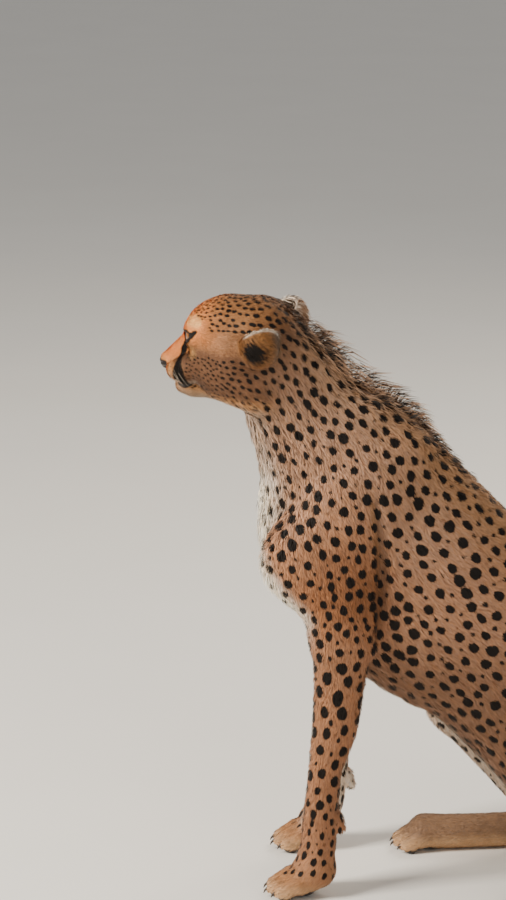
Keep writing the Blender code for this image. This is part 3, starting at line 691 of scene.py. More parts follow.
def make_mesh(name, V, T, uv=None, smooth=True):
    """A triangle mesh from arrays."""
    me = bpy.data.meshes.new(name)
    me.vertices.add(len(V))
    me.vertices.foreach_set("co", np.ascontiguousarray(V, np.float32).ravel())
    me.loops.add(len(T) * 3)
    me.loops.foreach_set("vertex_index", np.ascontiguousarray(T, np.int32).ravel())
    me.polygons.add(len(T))
    me.polygons.foreach_set("loop_start", np.arange(0, len(T) * 3, 3, dtype=np.int32))
    me.polygons.foreach_set("use_smooth", np.full(len(T), smooth))
    me.update(calc_edges=True)
    if uv is not None:
        layer = me.uv_layers.new(name="OFBake")
        layer.data.foreach_set("uv", np.ascontiguousarray(uv, np.float32).ravel())
    return me


def put(name, me, mat):
    ob = bpy.data.objects.new(name, me)
    bpy.context.scene.collection.objects.link(ob)
    me.materials.append(mat)
    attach(ob, "root")
    return ob


def set_float(me, name, values):
    a = me.attributes.new(name, "FLOAT", "POINT")
    a.data.foreach_set("value", np.ascontiguousarray(values, np.float32))


def set_colour(me, name, values):
    a = me.attributes.new(name, "FLOAT_COLOR", "POINT")
    c = np.ones((len(values), 4), np.float32)
    c[:, :3] = values
    a.data.foreach_set("color", c.ravel())


# ------------------------------------------------------------------ markings
def lin(r, g, b):
    c = np.array((r, g, b), float) / 255.0
    return np.where(c <= 0.04045, c / 12.92, ((c + 0.055) / 1.055) ** 2.4)


TAWNY = lin(186, 120, 75)
BACK = lin(178, 132, 92)
FLANK = lin(181, 138, 109)
RUST = lin(125, 79, 48)
PALE = lin(252, 239, 220)
CREAM = lin(208, 166, 124)
LEG = lin(168, 118, 85)
PAW = lin(160, 109, 67)
FOREHEAD = lin(250, 158, 84)
CROWN = lin(156, 107, 66)
BAND = lin(160, 111, 74)
CHEEK = lin(122, 85, 60)
WHITE = lin(246, 228, 206)
PEACH = lin(255, 196, 124)
EAR_GREY = lin(91, 74, 59)
MUZZLE = lin(226, 166, 107)
FOOT_WITH_PAINTED_SHADE = lin(128, 98, 74)
GOLD = lin(152, 103, 58)
# grey of the nape, lightened with painted light
NAPE_GREY_WITH_PAINTED_LIGHT = lin(202, 161, 128)
NECK_SIDE = lin(162, 124, 98)
# hind foot colour, darkened as painted shade
SOLE = lin(58, 44, 38)
LEATHER = lin(30, 24, 23)
SKIN_PINK = lin(150, 112, 98)


def mix(a, b, t):
    return a + (b - a) * t[:, None]


def cat(C, *names):
    return sum(C[:, CATS.index(n)] for n in names)


def ear_part(P):
    """1 on the ears, and how far inside the cup, for the points P."""
    on, inner = np.zeros(len(P)), np.zeros(len(P))
    for s in (1, -1):
        c, M = ear_frame(s)
        q = (P - c) @ M.T
        e = ellipsoid(q, np.array(EAR_SIZE))
        rim = q[:, 2] - EAR_CUT - EAR_LEAN * q[:, 1]
        near = (1 - ramp(np.abs(e), 0.004, 0.010)) * ramp(q[:, 1], -0.022, -0.004) * (rim < 0.006)
        on = np.maximum(on, near)
        inner = np.maximum(inner, near * ramp(-ellipsoid(q, np.array(EAR_SIZE) - 0.0024), 0.0, 0.0012))
    return on, inner


def ear_rim(P):
    """How near the points are to the edge of the ear."""
    out = np.zeros(len(P))
    for s in (1, -1):
        c, M = ear_frame(s)
        q = (P - c) @ M.T
        rim = q[:, 2] - EAR_CUT - EAR_LEAN * q[:, 1]
        near = (np.abs(q) < 0.05).all(1)
        out = np.maximum(out, near * ramp(rim, -0.0065, -0.0010) * ramp(q[:, 1], 0.004, 0.018))
    return out


def ear_inward(P):
    """How far the points lie on the side of each ear that faces the other."""
    out = np.zeros(len(P))
    for s in (1, -1):
        c, M = ear_frame(s)
        q = (P - c) @ M.T
        out = np.maximum(out, (np.abs(q) < 0.05).all(1) * ramp(-q[:, 0], 0.002, 0.016))
    return out


def tone(P, N, C):
    """Ground colour of the coat, with painted shade low on the trunk, in the arm folds, on the hind feet, the sides of
    the lower jaw and the ear bases, and painted light on the nape.
    """
    V = np.array((0, -0.80, -0.60))
    up = N @ -V
    col = mix(np.repeat(FLANK[None], len(P), 0), BACK, ramp(up, 0.15, 0.85))
    x = np.abs(P[:, 0])
    med = -N[:, 0] * np.sign(P[:, 0])
    # neck side is greyer, chest and belly white
    col = mix(col, NECK_SIDE, cat(C, "neck") * (1 - ramp(up, 0.3, 0.9)) * 0.7)
    # painted light: the grey mantle of the nape is lightened to stand for light on the top of the neck
    col = mix(col, NAPE_GREY_WITH_PAINTED_LIGHT, cat(C, "neck") * ramp(up, 0.1, 0.7) * 0.75)
    arm = cat(C, "arm")
    col = mix(col, TAWNY, arm * 0.8)
    g = np.exp(-(((P[:, 1] - 0.030) / 0.060) ** 2 + ((P[:, 2] - 0.470) / 0.080) ** 2)) * ramp(x, 0.05, 0.09)
    col = mix(col, RUST, 0.75 * g)
    leg = cat(C, "fore", "shank")
    col = mix(col, LEG, leg)
    col = mix(col, PALE, leg * ramp(med, 0.0, 0.7) * 0.75)
    col = mix(col, mix(np.repeat(LEG[None], len(P), 0), PALE, ramp(med, 0.1, 0.8)), cat(C, "haunch") * 0.5)
    foot = cat(C, "paw", "foot")
    col = mix(col, PAW, cat(C, "paw"))
    # painted shade: the hind feet get a darker colour for the shade of the body over them
    col = mix(col, FOOT_WITH_PAINTED_SHADE, cat(C, "foot"))
    col = mix(col, CREAM, foot * ramp(0.030 - P[:, 2], -0.004, 0.018))
    trunk = cat(C, "trunk", "neck", "arm")
    chest = ramp(N @ V, 0.38, 0.80) * trunk * (1 - 0.74 * ramp(P[:, 2], 0.61, 0.69)) * ramp(P[:, 2], 0.38, 0.47)
    # painted shade: the trunk darker and a little warmer lower down
    low_warm_painted_shade = cat(C, "trunk") * ramp(0.60 - P[:, 2], 0.0, 0.14) * (1 - chest)
    col = col * (1 - low_warm_painted_shade[:, None] * np.array((0.06, 0.12, 0.18)))
    col = mix(col, PALE, chest * 0.97)
    belly = ramp(N @ V, 0.55, 0.92) * cat(C, "trunk", "haunch") * ramp(0.46 - P[:, 2], 0.0, 0.08) * (1 - ramp(np.abs(N[:, 0]), 0.15, 0.50))
    col = mix(col, PALE, belly * 0.80)
    # painted shade: trunk and haunch darker towards the belly
    col = col * (1 - 0.36 * cat(C, "trunk", "haunch") * ramp(0.44 - P[:, 2], 0.0, 0.12))[:, None]
    armpit = ramp(med, 0.1, 0.6) * ramp(0.52 - P[:, 2], 0.0, 0.08) * cat(C, "arm", "trunk")
    col = mix(col, PALE, armpit * 0.45)
    # painted shade in the fold behind each upper arm, over the carved crease
    col = col * (1 - 0.66 * ramp(0.007 - fold_distance(P), 0.0, 0.011))[:, None]
    # tail: paler below and towards the end
    tl = cat(C, "tail")
    s = tail_length(P)
    col = mix(col, mix(np.repeat(BACK[None], len(P), 0), PALE, np.maximum(ramp(-N[:, 2], -0.2, 0.6), ramp(s, 0.42, 0.62))), tl)
    # head
    hd = cat(C, "head")
    sel = np.nonzero(hd > 0.02)[0]
    if len(sel):
        L = to_head(P[sel])
        n = N[sel] @ TURN
        a = np.abs(L[:, 0])
        h = np.repeat(CHEEK[None], len(sel), 0)
        h = mix(h, BAND, 0.85 * ramp(L[:, 2], -0.006, 0.008) * ramp(a, 0.022, 0.036) * (1 - ramp(L[:, 1], 0.020, 0.050)))
        h = mix(h, CROWN, ramp(L[:, 2], 0.020, 0.052))
        h = mix(h, FOREHEAD, np.exp(-((L[:, 1] + 0.072) / 0.034) ** 2) * ramp(L[:, 2], -0.005, 0.022) * 0.85)
        h = mix(h, FOREHEAD, ramp(-L[:, 1], 0.070, 0.092) * (1 - ramp(a, 0.014, 0.026)) * 0.85)
        # pale patches over and under the eye, white muzzle, chin and throat
        a_eye = path_distance(np.stack([a, L[:, 1], L[:, 2]], 1), [(0.0260, -0.0775, 0.0350, 0.004), (0.0430, -0.0610, 0.0360, 0.003)])
        h = mix(h, PEACH, (1 - ramp(a_eye, 0.000, 0.010)) * 0.85)
        a_low = np.linalg.norm(np.stack([a, L[:, 1], L[:, 2]], 1) - (0.044, -0.073, -0.008), axis=1)
        h = mix(h, PEACH, (1 - ramp(a_low, 0.002, 0.016)) * 0.55)
        muzzle = ramp(-L[:, 1], 0.083, 0.104) * ramp(-L[:, 2], 0.026, 0.046)
        h = mix(h, MUZZLE, muzzle * 0.85)
        h = mix(h, WHITE, ramp(-L[:, 1], 0.083, 0.104) * ramp(-L[:, 2], 0.046, 0.060) * 0.25)
        h = mix(h, MUZZLE, ramp(-L[:, 2], 0.060, 0.076) * 0.7)
        h = mix(h, WHITE, ramp(-L[:, 2], 0.072, 0.092) * 0.45)
        h = mix(h, WHITE, ramp(-n[:, 2], 0.45, 0.95) * ramp(-L[:, 2], 0.02, 0.05) * 0.5)
        front_ = (1 - ramp(np.abs(n[:, 0]), 0.30, 0.65)) * ramp(-L[:, 2], 0.050, 0.066) * ramp(-L[:, 1], 0.070, 0.092)
        h = mix(h, WHITE, front_ * 0.75)
        # painted shade on the sides of the lower jaw, under the lip
        jaw_painted_shade = ramp(np.abs(n[:, 0]), 0.20, 0.55) * ramp(-L[:, 2], 0.064, 0.078) * ramp(-L[:, 1], 0.030, 0.060)
        h = h * (1 - 0.28 * jaw_painted_shade)[:, None]
        # painted shade at the front base of each ear, where it meets the head
        d_ear = np.linalg.norm(np.stack([a, L[:, 1], L[:, 2]], 1) - (0.060, 0.008, 0.006), axis=1)
        h = h * (1 - 0.26 * (1 - ramp(d_ear, 0.006, 0.026)))[:, None]
        on, inner = ear_part(P[sel])
        h = mix(h, GOLD, on * 0.9)
        h = mix(h, EAR_GREY, on * ear_inward(P[sel]) * 0.85)
        h = mix(h, PALE, on * ear_rim(P[sel]) * 0.85)
        h = mix(h, PALE, inner * 0.5)
        h = h * (1 - 0.72 * on * (1 - ramp(ear_patch(P[sel]), -0.003, 0.0120)))[:, None]
        col[sel] = mix(col[sel], h, np.clip(hd[sel] * 1.3, 0, 1))
    return col


def tail_length(P):
    """Distance along the tail from its root, about 0.75 at the tip."""
    S = np.array(TAIL)[:, :3]
    seg = np.linalg.norm(np.diff(S, axis=0), axis=1)
    run = np.r_[0, np.cumsum(seg)]
    best, at = np.full(len(P), 9.0), np.zeros(len(P))
    for i in range(len(S) - 1):
        ba = S[i + 1] - S[i]
        t = np.clip((P - S[i]) @ ba / (ba @ ba), 0, 1)
        d = np.linalg.norm(P - S[i] - t[:, None] * ba, axis=1)
        at = np.where(d < best, run[i] + t * seg[i], at)
        best = np.minimum(best, d)
    return at


TAIL_LENGTH = float(np.linalg.norm(np.diff(np.array(TAIL)[:, :3], axis=0), axis=1).sum())
TEAR = laid([(0.0255, -0.0800, 0.0085, 0.0036), (0.0240, -0.0875, -0.0010, 0.0048), (0.0185, -0.0925, -0.0140, 0.0052),
             (0.0205, -0.0955, -0.0235, 0.0054), (0.0320, -0.0955, -0.0285, 0.0058), (0.0365, -0.0970, -0.0340, 0.0074),
             (0.0385, -0.0972, -0.0430, 0.0100), (0.0350, -0.0975, -0.0540, 0.0116), (0.0290, -0.0960, -0.0630, 0.0100),
             (0.0245, -0.0915, -0.0690, 0.0062)])
LIPS = laid([(0.0000, -0.1120, -0.0700, 0.0020), (0.0080, -0.1110, -0.0722, 0.0022), (0.0149, -0.1050, -0.0742, 0.0030),
             (0.0200, -0.0975, -0.0742, 0.0040), (0.0242, -0.0890, -0.0712, 0.0040), (0.0300, -0.0800, -0.0670, 0.0014)])
EYE_TAIL = laid([(0.0420, -0.0800, 0.0040, 0.0030), (0.0478, -0.0720, 0.0120, 0.0042), (0.0490, -0.0680, 0.0180, 0.0048),
                 (0.0495, -0.0640, 0.0225, 0.0042), (0.0500, -0.0590, 0.0255, 0.0020)])
LIP_CORNER = laid([(0.0400, -0.0905, -0.0340, 0.0020), (0.0425, -0.0900, -0.0410, 0.0040), (0.0415, -0.0885, -0.0510, 0.0052),
                   (0.0350, -0.0880, -0.0610, 0.0058), (0.0265, -0.0850, -0.0685, 0.0038)])
EAR_PATCH = np.array((0.0175, 0.0160, -0.0190))


def ear_patch(P):
    """Signed distance to the black patch on the back of each ear."""
    d = np.full(len(P), 1.0)
    for s in (1, -1):
        c, M = ear_frame(s)
        q = (P - c) @ M.T - EAR_PATCH
        fray = 0.0046 * np.sin(q @ (700, 300, -400)) * np.sin(q @ (-350, 800, 250)) + 0.0026 * np.sin(q @ (-420, 1250, 380) + 1.0)
        d = np.minimum(d, np.sqrt((q[:, 0] * 0.85) ** 2 + (q[:, 1] * 1.10) ** 2 + q[:, 2] ** 2) - 0.0145 + fray)
    return d


def face_marks(P):
    """Signed distance to the black marks of the face and ears."""
    L = to_head(P)
    M = L.copy()
    M[:, 0] = np.abs(M[:, 0])
    d = np.minimum(path_distance(M, TEAR), path_distance(M, LIPS))
    d = np.minimum(d, np.minimum(path_distance(M, EYE_TAIL), path_distance(M, LIP_CORNER)))
    a, g, r = lid_opening(M)
    rim = np.where(g > 0, a - 0.0032 - 0.0016 * ramp((M - EYE_AT) @ EH, 0.004, 0.014)
                   - 0.0010 * ramp(-((M - EYE_AT) @ EW), 0.0, 0.006), 1.0)
    d = np.where(r < EYE_RADIUS + 0.008, np.minimum(d, rim), d)
    # leather
    nose = ellipsoid(M - (0, -0.1300, -0.0448), (0.0192, 0.0140, 0.0106))
    d = np.minimum(d, nose)
    d = np.minimum(d, path_distance(M, [(0, -0.1380, -0.0500, 0.0026), (0, -0.1270, -0.0580, 0.0016), (0, -0.1145, -0.0690, 0.0014)]))
    d = np.minimum(d, root_distance(M))
    # back of the ear
    return np.minimum(d, ear_patch(P))


def whisker_roots():
    out = []
    for z, n, y0 in ((-0.0440, 4, -0.1170), (-0.0495, 5, -0.1190), (-0.0550, 5, -0.1190), (-0.0605, 4, -0.1160)):
        for j in range(n):
            out.append((0.0215 + 0.0042 * j, y0 + 0.0060 * j, z + 0.0008 * j, 0.0))
    return out


WHISKERS = np.array([laid([w, (w[0] + 1e-4,) + tuple(w[1:])])[0][:3] for w in whisker_roots()])


def root_distance(M):
    """Signed distance to the dark dots the whiskers grow from."""
    d = np.full(len(M), 1.0)
    near = np.nonzero((np.abs(M - WHISKERS.mean(0)) < 0.03).all(1))[0]
    if len(near):
        d[near] = np.linalg.norm(M[near][:, None] - WHISKERS[None], axis=2).min(1) - 0.00095
    return d


def spacing(P, C, N):
    """Clear distance, radius and length ratio of the spots."""
    def blend(**k):
        return sum(C[:, CATS.index(n)] * v for n, v in k.items())
    s = blend(head=0.0, neck=0.0158, trunk=0.0200, arm=0.0176, fore=0.0222, paw=0.0150, haunch=0.0225, shank=0.0190,
              foot=0.0150, tail=0.0215)
    r = blend(head=0.0, neck=0.0064, trunk=0.0091, arm=0.0083, fore=0.0104, paw=0.0026, haunch=0.0092, shank=0.0060,
              foot=0.0022, tail=0.0080)
    L = to_head(P)
    back = ramp(L[:, 1], -0.060, 0.050) * ramp(L[:, 2], -0.080, 0.010)
    s = s + cat(C, "head") * (0.0061 + 0.0041 * back)
    r = r + cat(C, "head") * (0.0020 + 0.0018 * back + 0.0006 * ramp(L[:, 2], 0.030, 0.055))
    a = blend(head=1.6, neck=1.45, trunk=1.18, arm=1.18, fore=1.45, paw=1.2, haunch=1.15, shank=1.3, foot=1.3, tail=1.1)
    V = np.array((0, -0.80, -0.60))
    pale = ramp(N @ V, 0.45, 0.85) * cat(C, "trunk", "neck", "arm", "haunch")
    r = r * (1 - 0.34 * pale)
    # small close dots over the elbow, long ones along the crest
    g = np.exp(-(((P[:, 1] - 0.038) / 0.026) ** 2 + ((P[:, 2] - 0.432) / 0.026) ** 2)) * cat(C, "arm", "fore")
    s, r = s * (1 - 0.40 * g), r * (1 - 0.48 * g)
    a = a * (1 + 0.9 * crest(P))
    back = ramp(P[:, 1], 0.05, 0.30) * cat(C, "trunk")
    s, r = s * (1 + 0.08 * back), r * (1 + 0.12 * back)
    low = cat(C, "fore") * (1 - ramp(P[:, 2], 0.10, 0.27))
    return s * (1 - 0.36 * low), r * (1 - 0.50 * low), a


def spot_bare(P, C, N):
    """Places with no spots."""
    L = to_head(P)
    a = np.abs(L[:, 0])
    hd = cat(C, "head")
    muzzle = (L[:, 1] < -0.083) & (hd > 0.5)
    front = (L[:, 1] < -0.040) & (L[:, 2] > -0.010) & (L[:, 2] < 0.045 + 0.4 * (L[:, 1] + 0.04)) & (hd > 0.5)
    side = (a > 0.040) & (L[:, 2] > -0.006) & (L[:, 2] < 0.028) & (L[:, 1] < 0.040) & (hd > 0.5)
    throat = (L[:, 2] < -0.075) & (hd > 0.4) & (L[:, 1] < -0.045)
    over = (hd > 0.5) & (path_distance(np.stack([a, L[:, 1], L[:, 2]], 1), [(0.0260, -0.0775, 0.0350, 0.011), (0.0430, -0.0610, 0.0330, 0.010)]) < 0)
    on, _ = ear_part(P)
    V = np.array((0, -0.80, -0.60))
    chest = (N @ V > 0.975) & (cat(C, "trunk", "neck", "arm") > 0.5)
    sole = (P[:, 2] < 0.012) | ((P[:, 2] < 0.034) & (cat(C, "paw") > 0.5)) | (cat(C, "foot") > 0.35)
    end = (cat(C, "tail") > 0.5) & (tail_length(P) > 0.44)
    leg = (-N[:, 0] * np.sign(P[:, 0]) > 0.75) & (cat(C, "fore", "shank", "haunch", "arm") > 0.5)
    return muzzle | front | side | throat | over | (on > 0.3) | chest | sole | end | leg


def throw_spots(V, T, N, flow, C, areas):
    """Even-spaced spots over the skin, no two closer than their spacing."""
    mid = V[T].mean(1)
    cN = rows(N[T].mean(1))
    cC = C[T].mean(1)
    s, r, a = spacing(mid, cC, cN)
    w = areas / (s * s)
    w[spot_bare(mid, cC, cN)] = 0
    M = 60000
    pick = rng.choice(len(T), M, p=w / w.sum())
    b = rng.random((M, 2))
    flip = b.sum(1) > 1
    b[flip] = 1 - b[flip]
    bc = np.stack([1 - b.sum(1), b[:, 0], b[:, 1]], 1)
    P = (V[T[pick]] * bc[:, :, None]).sum(1)
    nn = rows((N[T[pick]] * bc[:, :, None]).sum(1))
    fl = (flow[T[pick]] * bc[:, :, None]).sum(1)
    S, R, A = s[pick], r[pick], a[pick]
    grid, keep = {}, []
    size = 0.034
    cell = np.floor(P / size).astype(int)
    for i in range(M):
        cx, cy, cz = cell[i]
        px, py, pz = P[i]
        ok = True
        for dx in (-1, 0, 1):
            for dy in (-1, 0, 1):
                for dz in (-1, 0, 1):
                    for qx, qy, qz, qs in grid.get((cx + dx, cy + dy, cz + dz), ()):
                        m = 0.5 * (S[i] + qs)
                        if (px - qx) ** 2 + (py - qy) ** 2 + (pz - qz) ** 2 < m * m:
                            ok = False
                            break
                    if not ok:
                        break
                if not ok:
                    break
            if not ok:
                break
        if ok:
            keep.append(i)
            grid.setdefault((cx, cy, cz), []).append((px, py, pz, S[i]))
    # each spot moves to the middle of the ground that is nearest to it
    k = np.array(keep)
    every = KDTree(M)
    for i, p in enumerate(P):
        every.insert(p, i)
    every.balance()
    for _ in range(6):
        own = KDTree(len(k))
        for i, p in enumerate(P[k]):
            own.insert(p, i)
        own.balance()
        near = np.array([own.find(p)[1] for p in P])
        n_ = np.maximum(np.bincount(near, minlength=len(k)), 1)
        mid_ = np.stack([np.bincount(near, P[:, c], minlength=len(k)) / n_ for c in range(3)], 1)
        k = np.unique([every.find(p)[1] for p in mid_])
    # small ones in the widest gaps
    own = KDTree(len(k))
    for i, p in enumerate(P[k]):
        own.insert(p, i)
    own.balance()
    gap = np.array([own.find(p)[2] for p in P])
    body_ = 1 - cat(C[T[pick, 0]], "head", "paw", "foot", "tail")
    extra, at = [], np.zeros((0, 3))
    for i in np.nonzero((gap > 0.78 * S) & (body_ > 0.5))[0]:
        if len(at) and ((at - P[i]) ** 2).sum(1).min() < (0.8 * S[i]) ** 2:
            continue
        extra.append(i)
        at = np.vstack([at, P[i][None]])
    extra = np.array(extra, int)
    few = np.concatenate([np.ones(len(k)), np.full(len(extra), 0.36)])
    k = np.concatenate([k, extra])
    f = rows(fl[k] - (fl[k] * nn[k]).sum(1, keepdims=True) * nn[k])
    print("spots", len(k), "small", len(extra))
    # none so large that it meets the next
    all_ = KDTree(len(k))
    for i, p in enumerate(P[k]):
        all_.insert(p, i)
    all_.balance()
    clear = np.array([all_.find_n(p, 2)[1][2] if few[i] == 1 else 1.0 for i, p in enumerate(P[k])])
    clear = np.where(few == 1, np.maximum(clear, 0.50 * S[k]), 1.0)
    size_ = np.minimum(R[k] * few * rng.normal(1, 0.10, len(k)).clip(0.75, 1.2), 0.425 * clear)
    return dict(P=P[k], N=nn[k], F=f, B=np.cross(nn[k], f), R=size_,
                A=A[k] * rng.normal(1, 0.10, len(k)).clip(0.8, 1.25), W=rng.random((len(k), 3)) * 2 * pi, S=S[k])


def spot_distance(P, spots, reach=0.016):
    """Signed distance to the nearest spot."""
    out = np.full(len(P), 0.02)
    for idx in bins(P, 0.05):
        p = P[idx]
        lo, hi = p.min(0) - reach, p.max(0) + reach
        near = np.nonzero(((spots["P"] > lo) & (spots["P"] < hi)).all(1))[0]
        if len(near) == 0:
            continue
        v = p[:, None, :] - spots["P"][near][None]
        A = np.sqrt(spots["A"][near])
        u = (v * spots["F"][near]).sum(2) / A
        w = (v * spots["B"][near]).sum(2) * A
        h = (v * spots["N"][near]).sum(2) * 0.6
        th = np.arctan2(w, u)
        W = spots["W"][near]
        r = spots["R"][near] * (1 + 0.05 * np.sin(2 * th + W[:, 0]) + 0.04 * np.sin(3 * th + W[:, 1]) + 0.02 * np.sin(5 * th + W[:, 2]))
        out[idx] = np.minimum(out[idx], (np.sqrt(u * u + w * w + h * h) - r).min(1))
    return out


def tail_bands(P, C):
    """Signed distance to the rings near the end of the tail."""
    s = tail_length(P)
    first, pitch = TAIL_LENGTH - 0.262, 0.046
    k = np.clip(np.round((s - first) / pitch), 0, 4)
    wob = 0.004 * np.sin(P[:, 0] * 60 + P[:, 2] * 90)
    width = np.where(k > 3, 0.0160, 0.0125)
    d = np.abs(s - first - k * pitch + wob) - width
    return np.where(cat(C, "tail") > 0.5, d, 0.02)


def black(P, C, spots):
    d = np.minimum(spot_distance(P, spots), tail_bands(P, C))
    sel = np.nonzero((np.abs(P - HEAD_AT) < 0.17).all(1))[0]
    if len(sel):
        d[sel] = np.minimum(d[sel], face_marks(P[sel]))
    return np.clip(d, -0.02, 0.02)


# ------------------------------------------------------------------ materials
class Nodes:
    def __init__(self, name):
        self.mat = bpy.data.materials.new(name)
        self.mat.use_nodes = True
        self.t = self.mat.node_tree
        self.bsdf = self.t.nodes["Principled BSDF"]

    def new(self, kind, **values):
        n = self.t.nodes.new(kind)
        for k, v in values.items():
            if hasattr(n, k) and k not in n.inputs:
                setattr(n, k, v)
        return n

    def link(self, a, b):
        self.t.links.new(a, b)

    def attribute(self, name):
        n = self.new("ShaderNodeAttribute")
        n.attribute_name = name
        return n

    def noise(self, scale, detail=3.0, rough=0.55, vector=None):
        n = self.new("ShaderNodeTexNoise")
        n.inputs["Scale"].default_value = scale
        n.inputs["Detail"].default_value = detail
        n.inputs["Roughness"].default_value = rough
        if vector is None:
            c = self.new("ShaderNodeTexCoord")
            vector = c.outputs["Object"]
        self.link(vector, n.inputs["Vector"])
        return n.outputs["Fac"]

    def math(self, op, a, b=None, c=None):
        n = self.new("ShaderNodeMath")
        n.operation = op
        for i, v in enumerate((a, b, c)):
            if v is None:
                continue
            if isinstance(v, (int, float)):
                n.inputs[i].default_value = v
            else:
                self.link(v, n.inputs[i])
        return n.outputs[0]

    def range(self, v, a, b, c=0.0, d=1.0):
        n = self.new("ShaderNodeMapRange")
        n.interpolation_type = "SMOOTHSTEP"
        self.link(v, n.inputs["Value"])
        for k, x in zip(("From Min", "From Max", "To Min", "To Max"), (a, b, c, d)):
            n.inputs[k].default_value = x
        return n.outputs["Result"]

    def mix(self, fac, a, b, blend="MIX"):
        n = self.new("ShaderNodeMix")
        n.data_type = "RGBA"
        n.blend_type = blend
        for sock, v in ((n.inputs["Factor"], fac), (n.inputs["A"], a), (n.inputs["B"], b)):
            pass
        f, A, B = n.inputs[0], n.inputs[6], n.inputs[7]
        for sock, v in ((f, fac), (A, a), (B, b)):
            if isinstance(v, (int, float)):
                sock.default_value = v
            elif isinstance(v, (tuple, list, np.ndarray)):
                sock.default_value = (*[float(x) for x in v[:3]], 1.0)
            else:
                self.link(v, sock)
        return n.outputs[2]

    def bump(self, height, strength, distance):
        n = self.new("ShaderNodeBump")
        n.inputs["Strength"].default_value = strength
        n.inputs["Distance"].default_value = distance
        self.link(height, n.inputs["Height"])
        self.link(n.outputs["Normal"], self.bsdf.inputs["Normal"])


BLACK = lin(22, 15, 11)
BROWN = lin(104, 60, 34)


def fur_material(name, skin=False):
    m = Nodes(name)
    tone_ = m.attribute("tone").outputs["Color"]
    dark = m.attribute("dark").outputs["Fac"]
    rust = m.attribute("rust").outputs["Fac"]
    fine = m.noise(420.0, 4.0, 0.65)
    coarse = m.noise(34.0, 3.0)
    # ground colour, darker and lighter by the hair and in soft patches
    col = m.mix(0.55, tone_, m.mix(fine, (0.55, 0.52, 0.50), (1.42, 1.42, 1.42)), "MULTIPLY") if skin else \
        m.mix(0.30, tone_, m.mix(fine, (0.60, 0.58, 0.56), (1.38, 1.38, 1.38)), "MULTIPLY")
    col = m.mix(0.42, col, m.mix(coarse, (0.72, 0.70, 0.68), (1.26, 1.26, 1.26)), "MULTIPLY")
    # small brown flecks
    fleck = m.range(rust, 0.0006, -0.0006)
    col = m.mix(m.math("MULTIPLY", fleck, 0.65), col, BROWN)
    # black marks with a hairy edge
    edge = m.math("ADD", dark, m.math("MULTIPLY", m.math("SUBTRACT", m.noise(300.0, 3.0), 0.5), 0.0014))
    mask = m.range(edge, 0.0009, -0.0009)
    blk = m.mix(fine, BLACK * 0.55, BLACK * 1.6)
    col = m.mix(mask, col, blk)
    m.link(col, m.bsdf.inputs["Base Color"])
    m.link(m.range(fine, 0.2, 0.8, 0.52, 0.74), m.bsdf.inputs["Roughness"])
    m.bsdf.inputs["Specular IOR Level"].default_value = 0.22
    m.bsdf.inputs["Sheen Weight"].default_value = 0.05
    m.bsdf.inputs["Sheen Roughness"].default_value = 0.45
    m.bump(m.noise(900.0 if skin else 1400.0, 4.0, 0.7), 0.55 if skin else 0.25, 0.0008)
    return m


def skin_material():
    m = fur_material("skin", True)
    # wet black leather of the nose, pads and lid rims
    bare = m.attribute("bare").outputs["Fac"]
    old = m.bsdf.inputs["Base Color"].links[0].from_socket
    pebble = m.new("ShaderNodeTexVoronoi")
    pebble.inputs["Scale"].default_value = 900.0
    c = m.new("ShaderNodeTexCoord")
    m.link(c.outputs["Object"], pebble.inputs["Vector"])
    lea = m.mix(m.range(pebble.outputs["Distance"], 0.0, 0.6), LEATHER * 1.6, LEATHER * 0.8)
    col = m.mix(bare, old, lea)
    m.link(col, m.bsdf.inputs["Base Color"])
    r = m.bsdf.inputs["Roughness"].links[0].from_socket
    m.link(m.math("SUBTRACT", r, m.math("MULTIPLY", bare, 0.26)), m.bsdf.inputs["Roughness"])
    return m.mat


def simple_material(name, dark, light, scale, rough=(0.3, 0.5), stretch=None):
    m = Nodes(name)
    n = m.noise(scale, 4.0)
    m.link(m.mix(n, dark, light), m.bsdf.inputs["Base Color"])
    m.link(m.range(n, 0.3, 0.7, rough[0], rough[1]), m.bsdf.inputs["Roughness"])
    m.bump(m.noise(scale * 2.5, 3.0), 0.25, 0.0004)
    return m.mat


def eye_material():
    m = Nodes("eye")
    ring = m.attribute("ring").outputs["Fac"]
    spoke = m.attribute("spoke").outputs["Fac"]
    v = m.new("ShaderNodeCombineXYZ")
    m.link(m.math("MULTIPLY", spoke, 9.0), v.inputs[0])
    m.link(m.math("MULTIPLY", ring, 2.5), v.inputs[1])
    fib = m.noise(3.2, 4.0, 0.65, v.outputs[0])
    iris = m.mix(m.range(fib, 0.30, 0.72), lin(84, 44, 15), lin(184, 116, 46))
    iris = m.mix(m.range(ring, 0.30, 0.62), iris, m.mix(0.6, iris, lin(66, 32, 12)))
    iris = m.mix(m.range(ring, 0.58, 0.70), iris, lin(30, 16, 8))
    col = m.mix(m.range(ring, 0.70, 0.76), iris, lin(38, 27, 20))
    col = m.mix(m.range(ring, 0.275, 0.245), col, lin(4, 4, 5))
    m.link(col, m.bsdf.inputs["Base Color"])
    m.link(m.range(fib, 0.2, 0.8, 0.05, 0.11), m.bsdf.inputs["Roughness"])
    m.bsdf.inputs["Coat Weight"].default_value = 0.55
    m.bsdf.inputs["Coat Roughness"].default_value = 0.03
    m.bump(fib, 0.06, 0.0003)
    return m.mat


# ------------------------------------------------------------------ skin
def vertex_normals(V, T):
    fn = np.cross(V[T[:, 1]] - V[T[:, 0]], V[T[:, 2]] - V[T[:, 0]])
    N = np.zeros_like(V)
    for k in range(3):
        for i in range(3):
            N[:, i] += np.bincount(T[:, k], fn[:, i], len(V))
    return rows(N), np.linalg.norm(fn, axis=1) / 2


